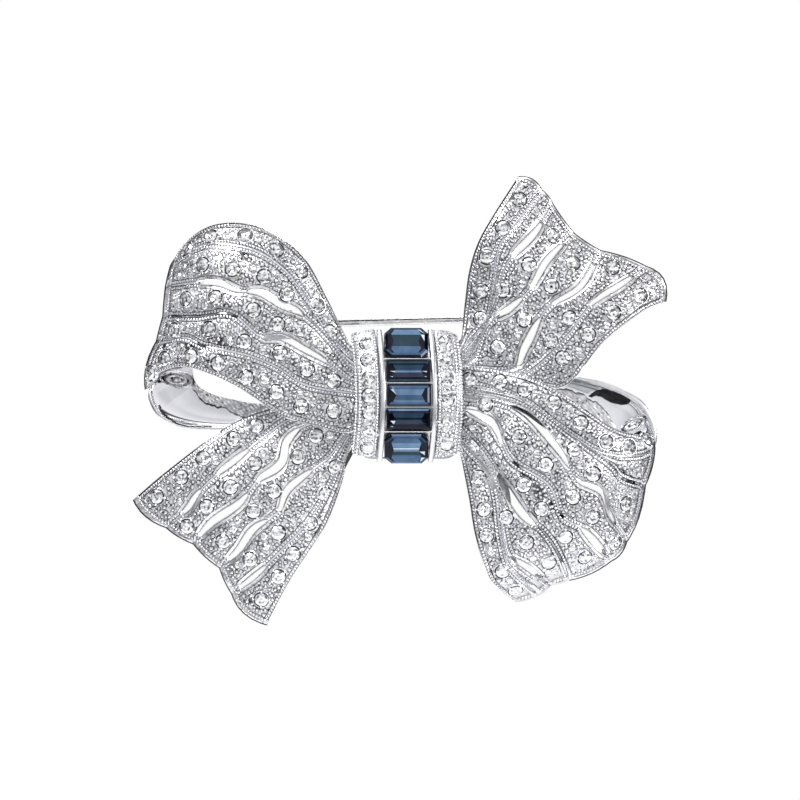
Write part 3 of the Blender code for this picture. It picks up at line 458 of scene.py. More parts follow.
# The blue crystals' tones: their blue, lightened and darkened as painted reflections, from a painted pale
# glint to the painted near black of their ends.
BLUE_TONES = {
    "glint": ((0.5, 0.62, 0.74), (0.8, 0.88, 0.94)),
    "pale": ((0.1, 0.18, 0.3), (0.17, 0.28, 0.42)),
    "mid": ((0.045, 0.095, 0.18), (0.075, 0.145, 0.26)),
    "teal": ((0.012, 0.034, 0.05), (0.024, 0.056, 0.08)),
    "slate": ((0.018, 0.025, 0.056), (0.034, 0.042, 0.085)),
    "navy": ((0.002, 0.003, 0.008), (0.008, 0.011, 0.026)),
}
BLUES = {tone: surface(f"blue_{tone}", *colours, (0.03, 0.07), metallic=0.7, per_mm=0.8, bump=0.02,
                       coat=0.1)
         for tone, colours in BLUE_TONES.items()}
TONES = list(BLUES)


# The order of a casting's materials, and of a return band's.
LIPS, FLOORS, BACKS, BEADS, PAINTED_SHADE = range(5)
CASTING_METALS = [LIP_METAL, FLOOR_METAL, BACK_METAL, BEAD_METAL, PAINTED_SHADE_METAL]
BRIGHT, INSIDE, ROUGH, PAINTED_DARK, PAINTED_BLACK_PATCH, SATIN, PAINTED_GREY = range(7)
RETURN_METALS = [POLISHED, BACK_METAL, ROUGH_LIP, PAINTED_SHADE_METAL, PAINTED_DARK_REFLECTION, RIM_METAL, PAINTED_GREY_REFLECTION]


# ---- Meshes ----


class Shape:
    """Points and faces of one piece, gathered before its mesh is made."""

    def __init__(self):
        """Starts empty."""
        self.points = []
        self.faces = []
        self.materials = []
        self.count = 0

    def add(self, points, faces, material=0):
        """Takes in points and groups of faces that count from the first of them."""
        points = np.asarray(points, float).reshape(-1, 3)
        self.points.append(points)
        for group in faces:
            moved = np.asarray(group, int) + self.count
            self.faces += moved.tolist()
            self.materials += [material] * len(moved)
        self.count += len(points)

    def build(self, name, materials, slot, nodes=(), smooth=40):
        """Makes the mesh's object, sharp at edges over `smooth` degrees, in place of these nodes."""
        mesh = bpy.data.meshes.new(name)
        mesh.from_pydata((np.vstack(self.points) * MM).tolist(), [], self.faces)
        for material in materials:
            mesh.materials.append(material)
        mesh.polygons.foreach_set("material_index", self.materials)
        if smooth:
            mesh.shade_smooth()
            mesh.set_sharp_from_angle(angle=math.radians(smooth))
        mesh.update()
        obj = bpy.data.objects.new(name, mesh)
        bpy.context.scene.collection.objects.link(obj)
        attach(obj, "brooch")
        if nodes:
            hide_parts(*nodes)
        return obj


def grid_faces(rows, columns):
    """The faces between the points of a grid, row by row."""
    grid = np.arange(rows * columns).reshape(rows, columns)
    return np.stack([grid[:-1, :-1], grid[:-1, 1:], grid[1:, 1:], grid[1:, :-1]], axis=-1).reshape(-1, 4)


def walls_of(quads, offset):
    """Faces that join a sheet's open edges to its back, whose points come this much later."""
    edges = np.vstack([quads[:, [k, (k + 1) % 4]] for k in range(4)])
    keys = np.sort(edges, axis=1)
    _, first, count = np.unique(keys, axis=0, return_index=True, return_counts=True)
    rim = edges[first[count == 1]]
    return np.column_stack([rim[:, 1], rim[:, 0], rim[:, 0] + offset, rim[:, 1] + offset])


def frames_of(normals, spin=None):
    """Two unit directions across each normal."""
    normals = np.asarray(normals, float)
    helper = np.tile([0.0, 0.0, 1.0], (len(normals), 1))
    u = np.cross(helper, normals)
    u /= np.linalg.norm(u, axis=1)[:, None]
    v = np.cross(normals, u)
    if spin is None:
        return u, v
    c, s = np.cos(spin)[:, None], np.sin(spin)[:, None]
    return u * c + v * s, v * c - u * s


def stamp(shape, template, faces, centres, normals, sizes, material=0, spin=None):
    """Copies of a template, whose points are (across, along, up), at each centre."""
    centres = np.asarray(centres, float).reshape(-1, 3)
    if not len(centres):
        return
    u, v = frames_of(normals, spin)
    sizes = np.broadcast_to(np.asarray(sizes, float), (len(centres),))
    t = np.asarray(template, float)
    local = (t[None, :, 0, None] * u[:, None] + t[None, :, 1, None] * v[:, None]
             + t[None, :, 2, None] * np.asarray(normals)[:, None])
    points = centres[:, None] + local * sizes[:, None, None]
    step = len(t)
    groups = []
    for group in faces:
        group = np.asarray(group, int)
        offsets = (np.arange(len(centres)) * step)[:, None, None]
        groups.append((group[None] + offsets).reshape(-1, group.shape[1]))
    shape.add(points.reshape(-1, 3), groups, material)


def dome(segments=8, angles=(24, 56, 95)):
    """A round grain: rings from its top down past its equator."""
    points = [(0, 0, 1)]
    for angle in np.radians(angles):
        for k in range(segments):
            turn = 2 * math.pi * k / segments
            points.append((math.sin(angle) * math.cos(turn), math.sin(angle) * math.sin(turn),
                           math.cos(angle)))
    cap = [(0, 1 + k, 1 + (k + 1) % segments) for k in range(segments)]
    quads = []
    for ring in range(len(angles) - 1):
        a, b = 1 + ring * segments, 1 + (ring + 1) * segments
        for k in range(segments):
            nxt = (k + 1) % segments
            quads.append((a + k, b + k, b + nxt, a + nxt))
    return points, [cap, quads]


def turned(profile, segments=20):
    """A ring-shaped piece turned from (radius, height) points."""
    points = [(r * math.cos(2 * math.pi * k / segments), r * math.sin(2 * math.pi * k / segments), h)
              for r, h in profile for k in range(segments)]
    quads = []
    for ring in range(len(profile) - 1):
        for k in range(segments):
            nxt = (k + 1) % segments
            quads.append((ring * segments + k, (ring + 1) * segments + k,
                          (ring + 1) * segments + nxt, ring * segments + nxt))
    return points, [[q[::-1] for q in quads]]


def brilliant():
    """A round crystal of radius 1: an inner star seen through its table, crown facets and a girdle."""
    rings = [(0.0, 0.31, 1, 0.0), (0.30, 0.25, 8, 0.5), (0.58, 0.31, 8, 0.0), (0.8, 0.2, 8, 0.5),
             (1.0, 0.04, 16, 0.0), (1.0, -0.2, 16, 0.0)]
    points = []
    starts = []
    for radius, height, count, shift in rings:
        starts.append(len(points))
        for k in range(count):
            turn = 2 * math.pi * (k + shift) / count
            points.append((radius * math.cos(turn), radius * math.sin(turn), height))
    centre, star, table, crown, girdle, base = starts
    tris = []
    for k in range(8):
        nxt = (k + 1) % 8
        tris.append((centre, star + k, star + nxt))
        tris.append((star + k, table + k, table + nxt))
        tris.append((star + k, table + nxt, star + nxt))
        tris.append((table + k, crown + k, table + nxt))
        tris.append((crown + k, girdle + 2 * k, girdle + 2 * k + 1))
        tris.append((crown + k, girdle + 2 * k + 1, girdle + (2 * k + 2) % 16))
        tris.append((table + nxt, crown + k, girdle + (2 * k + 2) % 16))
        tris.append((table + nxt, girdle + (2 * k + 2) % 16, crown + nxt))
    quads = []
    for k in range(16):
        nxt = (k + 1) % 16
        quads.append((girdle + k, base + k, base + nxt, girdle + nxt))
    return points, [tris, quads]


GRAIN = dome()
SMALL_GRAIN = dome(7, (38, 90))
# Flat rings, painted near black as shade, around each grain and bead.
GRAIN_SHADE_RING = turned([(1.0, 0.02), (1.2, 0.02)], 7)
BEAD_SHADE_RING = turned([(1.0, 0.02), (1.12, 0.02)], 7)
SEAT_WALL = turned([(0.84, -0.3), (0.85, -0.04), (1.08, 0.02)])
SEAT_RING = turned([(1.06, 0.0), (1.09, 0.1), (1.14, 0.1), (1.22, -0.3)])
ROUND_CRYSTAL = brilliant()


# ---- Curves ----


def smooth_profile(knots, s):
    """A smooth curve through (s, value) knots, at each s."""
    at = np.array([k[0] for k in knots], float)
    value = np.array([k[1] for k in knots], float)
    slope = np.gradient(value, at)
    i = np.clip(np.searchsorted(at, s) - 1, 0, len(at) - 2)
    width = at[i + 1] - at[i]
    t = (s - at[i]) / width
    return ((2 * t**3 - 3 * t**2 + 1) * value[i] + (t**3 - 2 * t**2 + t) * width * slope[i]
            + (3 * t**2 - 2 * t**3) * value[i + 1] + (t**3 - t**2) * width * slope[i + 1])


def curve_through(points, count):
    """Points evenly spaced on a smooth curve through the given ones."""
    given = np.array(points, float)
    padded = np.vstack([2 * given[0] - given[1], given, 2 * given[-1] - given[-2]])
    t = np.linspace(0, 1, 32, endpoint=False)[:, None]
    fine = []
    for a, b, c, d in zip(padded, padded[1:], padded[2:], padded[3:]):
        fine.append(0.5 * (2 * b + (c - a) * t + (2 * a - 5 * b + 4 * c - d) * t**2
                           + (3 * b - a - 3 * c + d) * t**3))
    fine = np.vstack(fine + [given[-1:]])
    run = np.concatenate([[0], np.cumsum(np.linalg.norm(np.diff(fine, axis=0), axis=1))])
    even = np.linspace(0, run[-1], count)
    return np.column_stack([np.interp(even, run, fine[:, 0]), np.interp(even, run, fine[:, 1])])


def smoothstep(t):
    """From 0 to 1 with level ends, as t goes from 0 to 1."""
    t = np.clip(t, 0.0, 1.0)
    return t * t * (3 - 2 * t)


def lerp_rows(rows, at):
    """Rows of an array at fractional indices."""
    low = np.clip(np.floor(at).astype(int), 0, len(rows) - 2)
    part = (at - low).reshape((-1,) + (1,) * (rows.ndim - 1))
    return rows[low] * (1 - part) + rows[low + 1] * part


# ---- Ribbons ----


def reached(vein):
    """The vein's last point, drawn out along its way."""
    last, before = np.array(vein[-1]), np.array(vein[-2])
    return tuple(last + (last - before) / np.linalg.norm(last - before) * END_REACH)


class Ribbon:
    """A sheet between veins. A point on it is (rib, station, share of the way across the rib)."""

    def __init__(self, drawn, hidden_start=True):
        """Draws the veins, gathered under the collar if the ribbon starts hidden, and opens the slots."""
        self.drawn = drawn
        veins = drawn["veins"]
        if hidden_start:
            side = math.copysign(COLLAR_EDGE, veins[0][0][0])
            veins = [[(side, v[0][1] * GATHER)] + v[:-1] + [reached(v)] for v in veins]
        self.curves = np.array([curve_through(v, STATIONS) for v in veins])
        self.ribs = len(veins) - 1
        self.widths = np.zeros((len(veins), STATIONS))
        for vein, start, end, width in drawn["slots"]:
            first, last = sorted(int(np.argmin(np.linalg.norm(self.curves[vein] - p, axis=1)))
                                 for p in (start, end))
            j = np.arange(first + 1, last)
            self.widths[vein, j] = width * np.sin(np.pi * (j - first) / (last - first)) ** 0.5
        self.sides = []
        for i, curve in enumerate(self.curves):
            along = np.gradient(curve, axis=0)
            across = self.curves[min(i + 1, self.ribs)] - self.curves[max(i - 1, 0)]
            side = np.column_stack([-along[:, 1], along[:, 0]])
            side /= np.linalg.norm(side, axis=1)[:, None]
            self.sides.append(side * np.sign((side * across).sum(axis=1))[:, None])
        self.sides = np.array(self.sides)
        shift = self.sides * self.widths[..., None] / 2
        self.near = self.curves[:-1] + shift[:-1]
        self.far = self.curves[1:] - shift[1:]
        self.spans = np.linalg.norm(self.far - self.near, axis=2)
        heading = np.gradient(self.curves, axis=1)
        self.heading = heading / np.linalg.norm(heading, axis=2)[..., None]

    def depth(self, s, v, t):
        """Height at a share s of the length, a share v of the width and a share t of the rib."""
        first, last = self.drawn["drops"]
        fall = (first * (1 - v) ** 3 + last * v**3) * smoothstep(s / 0.3)
        bulge = self.drawn.get("bulge", RIB_BULGE)
        return smooth_profile(self.drawn["crest"], s) - fall + bulge * 4 * t * (1 - t)

    def place(self, i, j, t, lift=0.0):
        """Points on rib i at stations j and shares t, raised by this much."""
        j, t = np.broadcast_arrays(np.asarray(j, float), np.asarray(t, float))
        s = j / (STATIONS - 1)
        near, far = lerp_rows(self.near[i], j), lerp_rows(self.far[i], j)
        push = self.drawn["end_bulges"][i] * 4 * t * (1 - t) * smoothstep((s - 0.85) / 0.15)
        flat = near + (far - near) * t[:, None] + lerp_rows(self.heading[i], j) * push[:, None]
        return np.column_stack([flat[:, 0], -self.depth(s, (i + t) / self.ribs, t) - lift, flat[:, 1]])

    def normal(self, i, j, t):
        """Unit normals there, facing the front."""
        j = np.clip(np.asarray(j, float), 0.6, STATIONS - 1.6)
        t = np.clip(np.asarray(t, float), 0.03, 0.97)
        along = self.place(i, j + 0.5, t) - self.place(i, j - 0.5, t)
        across = self.place(i, j, t + 0.02) - self.place(i, j, t - 0.02)
        n = np.cross(along, across)
        n /= np.linalg.norm(n, axis=1)[:, None]
        return n * -np.sign(n[:, 1])[:, None]

    def lookup(self):
        """A fine table of points with the rib, station and share of each."""
        j, t = np.meshgrid(np.arange(0, STATIONS, 1.0), np.linspace(0, 1, 25), indexing="ij")
        j, t = j.ravel(), t.ravel()
        points = [self.place(i, j, t) for i in range(self.ribs)]
        ribs = np.repeat(np.arange(self.ribs), len(j))
        return np.vstack(points), ribs, np.tile(j, self.ribs), np.tile(t, self.ribs)


def lip_scale(spans):
    """The lips' width as a share of the usual, which is less where the rib is narrow."""
    return np.minimum(1.0, LIPS_SHARE * spans / FLOOR_AT)


def lip_shares(spans):
    """Shares across a rib where its lips and its floor begin, and their scale."""
    scale = lip_scale(spans)
    marks = np.array([0.0, 0.11, 0.17, LIP - 0.02, LIP + 0.05, FLOOR_AT])
    near = marks[None] * scale[:, None] / spans[:, None]
    inner = np.linspace(0, 1, 5)[1:-1]
    mid = near[:, -1:] + (1 - 2 * near[:, -1:]) * inner[None]
    return np.hstack([near, mid, 1 - near[:, ::-1]]), scale


def crease_drop(drawn, points):
    """How far the surface falls into the ribbon's dark creases, at these points."""
    drop = np.zeros(len(points))
    flat = points[:, [0, 2]]
    for start, end, width in drawn.get("creases", ()):
        a, b = np.array(start), np.array(end)
        run = b - a
        share = np.clip(((flat - a) @ run) / (run @ run), 0, 1)
        away = np.linalg.norm(flat - a - share[:, None] * run, axis=1)
        taper = np.sqrt(np.clip(4 * share * (1 - share), 0, 1)) * width / 2 + 0.02
        drop = np.maximum(drop, CREASE_DROP * smoothstep((taper * 1.8 - away) / (taper * 0.9)))
    return drop


def front_facing(points, faces):
    """The faces turned to face the front, and a smooth unit normal at each point."""
    corner = points[faces]
    normal = np.cross(corner[:, 2] - corner[:, 0], corner[:, 3] - corner[:, 1])
    if normal[:, 1].sum() > 0:
        faces = faces[:, ::-1]
        normal = -normal
    smooth = np.zeros_like(points)
    for k in range(4):
        np.add.at(smooth, faces[:, k], normal)
    return faces, smooth / np.maximum(np.linalg.norm(smooth, axis=1), 1e-9)[:, None]


def ribbon_sheet(shape, ribbon, thickness):
    """The ribbon's front with its lips and floors, its back, and the walls between them."""
    lip_drops = [LIP_GROOVE, 0.0, 0.03, 0.03, 0.1, FLOOR_DROP]
    drops = np.array(lip_drops + [FLOOR_DROP] * 3 + lip_drops[::-1])
    columns = len(drops)
    # Beside each lip, a thin band is painted near black as shade.
    lip_bands = [BEADS, PAINTED_SHADE, LIPS, PAINTED_SHADE, FLOORS]
    bands = lip_bands + [FLOORS] * 4 + lip_bands[::-1]
    front, base, faces, kinds, index = [], [], [], [], {}
    for i in range(ribbon.ribs):
        shares, scale = lip_shares(ribbon.spans[i])
        j = np.repeat(np.arange(STATIONS), columns)
        points = ribbon.place(i, j.astype(float), shares.ravel())
        lowered = points.copy()
        sunk = drops[None] * scale[:, None]
        sunk[-END_RIM:] = 0.0
        lowered[:, 1] += sunk.ravel() + crease_drop(ribbon.drawn, points)
        ids = np.empty((STATIONS, columns), int)
        kept = []
        for row in range(STATIONS):
            for column in range(columns):
                key = (i, row, column)
                if column == 0 and ribbon.widths[i, row] == 0:
                    key = ("vein", i, row)
                elif column == columns - 1 and ribbon.widths[i + 1, row] == 0:
                    key = ("vein", i + 1, row)
                kept.append(key not in index)
                ids[row, column] = index.setdefault(key, len(index))
        kept = np.array(kept)
        front.append(lowered[kept])
        base.append(points[kept])
        plain = int(ribbon.drawn.get("plain", {}).get(i, 2) * STATIONS)
        for column in range(columns - 1):
            a, b = ids[:-1, column], ids[:-1, column + 1]
            c, d = ids[1:, column + 1], ids[1:, column]
            faces.append(np.column_stack([a, b, c, d]))
            strip = np.full(STATIONS - 1, bands[column])
            strip[-END_RIM - 1 :] = LIPS
            strip[-END_RIM] = BACKS
            # The ribbon's end edge is painted near black as shade.
            strip[-1] = PAINTED_SHADE
            strip[plain:] = BACKS
            kinds += strip.tolist()
    front, base, faces = np.vstack(front), np.vstack(base), np.vstack(faces)
    kinds = np.array(kinds)

    faces, smooth = front_facing(base, faces)
    back = base - smooth * thickness
    n = len(front)
    walls = walls_of(faces, n)
    for kind in (LIPS, FLOORS, BEADS, PAINTED_SHADE, BACKS):
        shape.add(np.zeros((0, 3)), [faces[kinds == kind]], kind)
    shape.add(np.zeros((0, 3)), [walls], LIPS)
    shape.add(np.zeros((0, 3)), [faces[:, ::-1] + n], BACKS)
    shape.points.append(np.vstack([front, back]))
    shape.count += 2 * n


def spaced(points, step):
    """Fractional indices evenly spaced along a line of points."""
    run = np.concatenate([[0], np.cumsum(np.linalg.norm(np.diff(points, axis=0), axis=1))])
    count = max(int(round(run[-1] / step)), 1)
    return np.interp((np.arange(count) + 0.5) * run[-1] / count, run, np.arange(len(points)))


def milgrain(shape, ribbon):
    """Rows of beads along both sides of every vein and along the ribbon's end."""
    centres, normals, sizes = [], [], []
    for i in range(ribbon.ribs):
        spans = ribbon.spans[i]
        scale = lip_scale(spans)
        inset = BEAD_INSET * scale / spans
        for vein, share in ((i, inset), (i + 1, 1 - inset)):
            line = ribbon.place(i, np.arange(STATIONS, dtype=float), share)
            at = spaced(line, BEAD_STEP)
            t = np.interp(at, np.arange(STATIONS), share)
            size = np.interp(at, np.arange(STATIONS), scale)
            slot = np.interp(at, np.arange(STATIONS), ribbon.widths[vein])
            fine = (size > LEAST_SCALE) & (slot < SLOT_BARE) & (at < END_BEADS)
            at, t, size = at[fine], t[fine], size[fine]
            centres.append(ribbon.place(i, at, t))
            normals.append(ribbon.normal(i, at, t))
            sizes.append(BEAD * np.maximum(size, LEAST_BEAD))
        across = np.linspace(0, 1, 40)
        row = ribbon.place(i, np.full(len(across), END_BEADS), across)
        t = spaced(row, BEAD_STEP) / (len(across) - 1)
        at = np.full(len(t), END_BEADS)
        centres.append(ribbon.place(i, at, t))
        normals.append(ribbon.normal(i, at, t))
        sizes.append(np.full(len(t), BEAD))
    centres, normals = np.vstack(centres), np.vstack(normals)
    sizes = np.concatenate(sizes) * RANDOM.uniform(0.88, 1.08, len(centres))
    stamp(shape, *SMALL_GRAIN, centres, normals, sizes, BEADS)
    # A ring painted near black as shade around each bead.
    stamp(shape, *BEAD_SHADE_RING, centres + normals * 0.01, normals, sizes, PAINTED_SHADE)
    return centres, sizes


def seats_of(ribbon):
    """Centre and normal of each large crystal's seat."""
    points, ribs, j, t = ribbon.lookup()
    centres, normals = [], []
    for x, z in ribbon.drawn["stones"]:
        k = int(np.argmin((points[:, 0] - x) ** 2 + (points[:, 2] - z) ** 2))
        n = ribbon.normal(int(ribs[k]), j[k : k + 1], t[k : k + 1])[0]
        y = points[k, 1] - (n[0] * (x - points[k, 0]) + n[2] * (z - points[k, 2])) / n[1]
        centres.append((x, y, z))
        normals.append(n)
    return np.array(centres), np.array(normals)


def scatter(ribbon, taken, radii, per_mm2, size_range, margin):
    """Random free places on the ribs' floors, each with its normal and size."""
    found, normals, sizes = [], [], []
    busy = [taken]
    busy_radii = [radii]
    for i in range(ribbon.ribs):
        lengths = np.linalg.norm(np.diff(ribbon.curves[i], axis=0), axis=1).sum()
        area = lengths * ribbon.spans[i].mean()
        want = int(area * per_mm2 * SCATTER_TRIES)
        j = RANDOM.uniform(2, STATIONS * min(ribbon.drawn.get("plain", {}).get(i, 1), 1) - 4, want)
        t = RANDOM.uniform(0, 1, want)
        size = RANDOM.uniform(*size_range, want)
        span = np.interp(j, np.arange(STATIONS), ribbon.spans[i])
        edge = np.minimum(t, 1 - t) * span
        fuller = RANDOM.uniform(0, 1, want) < span / ribbon.spans[i].max()
        inside = (edge > margin + size * 0.8) & fuller
        j, t, size = j[inside], t[inside], size[inside]
        points = ribbon.place(i, j, t)
        around = ribbon.normal(i, j, t)
        for point, normal, radius in zip(points, around, size):
            others = np.vstack(busy)
            gap = np.linalg.norm(others - point, axis=1) - np.concatenate(busy_radii) - radius * 0.9
            if gap.min() > 0:
                busy.append(point[None])
                busy_radii.append(np.array([radius]))
                found.append(point)
                normals.append(normal)
                sizes.append(radius)
        busy = [np.vstack(busy)]
        busy_radii = [np.concatenate(busy_radii)]
    return np.array(found), np.array(normals), np.array(sizes)


def cut_seats(metal, centres, normals, radii):
    """A hole with a raised rim for each crystal, its wall painted near black as shade."""
    stamp(metal, *SEAT_WALL, centres, normals, radii, PAINTED_SHADE)
    stamp(metal, *SEAT_RING, centres, normals, radii, BEADS)


def set_stones(metal, stones, centres, normals, radius):
    """Seats with four prongs each, and the crystals in them."""
    spin = RANDOM.uniform(0, TURN, len(centres))
    cut_seats(metal, centres, normals, radius)
    u, v = frames_of(normals, spin)
    for k in range(4):
        angle = math.pi / 2 * k
        out = u * math.cos(angle) + v * math.sin(angle)
        prongs = centres + out * (radius * PRONG_AT) + normals * PRONG_RISE
        stamp(metal, *GRAIN, prongs, normals, radius * PRONG_RADIUS, BEADS)
    aside = (u * np.cos(spin)[:, None] + v * np.sin(spin)[:, None]) * STONE_LEAN
    seated = centres + aside + normals * STONE_RISE
    stamp(stones, *ROUND_CRYSTAL, seated, normals, radius * STONE_SHARE, 0, spin * 1.7)


def dress_ribbon(name, drawn, thickness):
    """One ribbon's casting and its crystals."""
    ribbon = Ribbon(drawn)
    casting, work, stones = Shape(), Shape(), Shape()
    ribbon_sheet(casting, ribbon, thickness)
    beads, bead_sizes = milgrain(work, ribbon)
    seats, seat_normals = seats_of(ribbon)
    set_stones(work, stones, seats, seat_normals, STONE)
    taken = np.vstack([seats, beads])
    radii = np.concatenate([np.full(len(seats), STONE * RIM_SHARE), bead_sizes])
    small, small_normals, small_sizes = scatter(ribbon, taken, radii, SMALL_PER_MM2, SMALL_STONES,
                                                SMALL_MARGIN)
    if len(small):
        lowered = small - small_normals * (FLOOR_DROP - 0.05)
        cut_seats(work, lowered, small_normals, small_sizes)
        stamp(stones, *ROUND_CRYSTAL, lowered, small_normals, small_sizes * 0.97, 0,
              RANDOM.uniform(0, TURN, len(small)))
        taken = np.vstack([taken, small])
        radii = np.concatenate([radii, small_sizes * RIM_SHARE])
    grains, grain_normals, grain_sizes = scatter(ribbon, taken, radii, GRAINS_PER_MM2, GRAIN_SIZES,
                                                 GRAIN_MARGIN)
    lowered = grains - grain_normals * (FLOOR_DROP - 0.04)
    stamp(work, *SMALL_GRAIN, lowered, grain_normals, grain_sizes, BEADS)
    # A ring painted near black as shade around each grain.
    stamp(work, *GRAIN_SHADE_RING, lowered, grain_normals, grain_sizes, PAINTED_SHADE)
    casting.build(name + "_casting", CASTING_METALS, "pave_ribbon", [name])
    work.build(name + "_grainwork", CASTING_METALS, "pave_ribbon")
    stones.build(name + "_crystals", [CRYSTAL], "clear_stone", smooth=0)


def within(polygon, x, z):
    """Whether each point lies inside the polygon."""
    hits = np.zeros(len(x), bool)
    for (x0, z0), (x1, z1) in zip(polygon, polygon[1:] + polygon[:1]):
        if z0 != z1:
            hits ^= ((z0 > z) != (z1 > z)) & (x < x0 + (z - z0) * (x1 - x0) / (z1 - z0))
    return hits


def fold_over(shape, band, loop, shares):
    """The turned edge between a loop's end and the start of its return band, inside and out."""
    steps = np.linspace(0, 1, FOLD_STEPS)
    across = np.interp(steps, (0, 1), shares)
    ribs = np.minimum(across.astype(int), loop.ribs - 1)
    ends = np.vstack([loop.place(i, [STATIONS - 1.0], [t]) for i, t in zip(ribs, across - ribs)])
    way = np.vstack([loop.heading[i, -1] for i in ribs])
    starts = band.place(0, np.zeros(FOLD_STEPS), steps)
    for depth in (0.0, -FOLD_THICKNESS):
        rows = []
        for m in np.linspace(0, 1, FOLD_ROWS):
            row = ends * (1 - m) + starts * m
            row[:, 1] += (1 - m) * 0.5 + 0.3 * m
            swell = 0.18 * math.sin(math.pi * m) + depth
            row[:, 0] += way[:, 0] * swell
            row[:, 2] += way[:, 1] * swell
            rows.append(row)
        quads = grid_faces(FOLD_ROWS, FOLD_STEPS)
        shape.add(np.vstack(rows), [quads if depth == 0 else quads[:, ::-1]], SATIN)


def near_line(line, x, z):
    """How far each point is from a line of points."""
    least = np.full(len(x), np.inf)
    for (x0, z0), (x1, z1) in zip(line, line[1:]):
        long = math.hypot(x1 - x0, z1 - z0)
        share = np.clip(((x - x0) * (x1 - x0) + (z - z0) * (z1 - z0)) / long**2, 0, 1)
        least = np.minimum(least, np.hypot(x - x0 - share * (x1 - x0), z - z0 - share * (z1 - z0)))
    return least


def return_lift(drawn, x, z, j, profile, away):
    """A return band's relief, whether each point is rough or in the curl, and the curl's wave."""
    lift = smooth_profile(TROUGH, profile)

    start, end = (np.array(p) for p in drawn["lobe"])
    run = (end - start) / np.linalg.norm(end - start)
    above = ((x - start[0]) * -run[1] + (z - start[1]) * run[0]) * math.copysign(1, run[0])
    fold = np.clip(above, 0, 1.6) * smoothstep((0.3 - j / STATIONS) / 0.1)
    lift = lift + 0.1 * fold * smoothstep((profile - 1) / 0.2)

    rough = (away > 0) & (profile > TROUGH_START)
    pits = drawn["pits"] * (np.sin(5.3 * x + 2 * z) + np.sin(7.9 * z - 3 * x) + np.sin(13 * x + 11 * z))
    lift = np.where(rough, lift + 0.12 * smoothstep(away / 0.2) + pits, lift)

    swirl_x, swirl_z, long, high, tilt = drawn["swirl"]
    c, s = math.cos(math.radians(tilt)), math.sin(math.radians(tilt))
    across = ((x - swirl_x) * c + (z - swirl_z) * s) / long
    along = ((z - swirl_z) * c - (x - swirl_x) * s) / high
    ring = np.hypot(across, along)
    wave = np.sin(2 * np.pi * (2.6 * ring + 0.5 * across) + 2.0 * along)
    curl = ring < 1
    lift = np.where(curl, lift - 0.16 * smoothstep((1 - ring) / 0.2) + 0.07 * wave, lift)
    return lift, rough, curl, wave


def return_kinds(drawn, x, z, quads, profile, away, rough, curl, wave):
    """The material of each of a return band's front faces. A later one goes over an earlier one."""
    first, last = drawn["undercut"]
    half_width = np.where((x > first) & (x < last), 0.1, 0.055)
    outline = (np.abs(away) / half_width)[quads].mean(axis=1) < 1
    outline &= (profile > TROUGH_START)[quads].all(axis=1)
    kinds = np.where((rough | curl)[quads].all(axis=1), ROUGH, BRIGHT)
    kinds[(profile < 1)[quads].all(axis=1)] = SATIN
    # Painted shade in the curl's wave troughs and along the rough edge's outline.
    kinds[(curl & (wave < -0.25))[quads].all(axis=1) | outline] = PAINTED_DARK
    # A painted dark line along "line", narrower towards the right.
    taper = np.interp(x, (-26.0, -23.0), (0.11, 0.06))
    kinds[(near_line(drawn["line"], x, z) / taper)[quads].mean(axis=1) < 1] = PAINTED_DARK
    # A painted grey reflection.
    kinds[within(drawn["grey"], x, z)[quads].all(axis=1)] = PAINTED_GREY
    # A painted dark reflection.
    kinds[within(drawn["shade"], x, z)[quads].all(axis=1)] = PAINTED_BLACK_PATCH
    return kinds


def dress_return(name, drawn, loop):
    """A loop's polished return band: a smooth outer rim, a trough, a swirl at its fold and a rough edge."""
    ribbon = Ribbon(drawn, hidden_start=False)
    columns = np.linspace(0, 1, RETURN_COLUMNS)
    rows = np.linspace(0, STATIONS - 1, 2 * STATIONS)
    j, t = np.repeat(rows, len(columns)), np.tile(columns, len(rows))
    flat = ribbon.place(0, j, t)
    x, z = flat[:, 0], flat[:, 2]

    # 0 at the band's outer edge, 1 where its rim ends and 2 at its inner edge.
    inward = 1 - t if drawn["rim_at_end"] else t
    rim = np.interp(j / STATIONS, (0, 0.2, 0.5), drawn["rim"])
    rim /= np.interp(j, np.arange(STATIONS), ribbon.spans[0])
    profile = np.where(inward < rim, inward / rim, 1 + (inward - rim) / (1 - rim))

    edge_x, edge_z = zip(*drawn["rough"])
    wander = 0.08 * np.sin(4.1 * x) + 0.05 * np.sin(9.7 * x + 1)
    away = (z - np.interp(x, edge_x, edge_z) - wander) * drawn["rough_side"]
    lift, rough, curl, wave = return_lift(drawn, x, z, j, profile, away)

    front = ribbon.place(0, j, t, lift=lift)
    back = flat - ribbon.normal(0, j, t) * BAND
    quads = grid_faces(len(rows), len(columns))
    quads, _ = front_facing(front, quads)
    kinds = return_kinds(drawn, x, z, quads, profile, away, rough, curl, wave)
    n = len(front)
    walls = walls_of(quads, n)
    shape = Shape()
    shape.add(np.vstack([front, back]), [])
    shape.faces += quads.tolist() + walls.tolist() + (quads[:, ::-1] + n).tolist()
    shape.materials += kinds.tolist() + [SATIN] * len(walls) + [INSIDE] * len(quads)
    fold_over(shape, ribbon, loop, drawn["fold"])
    shape.build(name + "_band", RETURN_METALS, "polished_band", [name])


# ---- The knot ----


def on_knot(z, height):
    """The depth, the height and the tilt of the point this high above the knot's arc at z."""
    tilt = math.asin((z - KNOT_CENTRE_Z) / KNOT_RADIUS)
    radius = KNOT_RADIUS + height
    return (KNOT_CENTRE_Y - radius * math.cos(tilt), KNOT_CENTRE_Z + radius * math.sin(tilt), tilt)


def mid_height(top, bottom):
    """The height halfway along the knot's arc between two heights."""
    turns = [math.asin((z - KNOT_CENTRE_Z) / KNOT_RADIUS) for z in (top, bottom)]
    return KNOT_CENTRE_Z + KNOT_RADIUS * math.sin(sum(turns) / 2)


def bow_shift(z):
    """How far the channel's middle line stands to the right at this height."""
    return KNOT_SHIFT - KNOT_BOW * (z / KNOT_TOP) ** 2


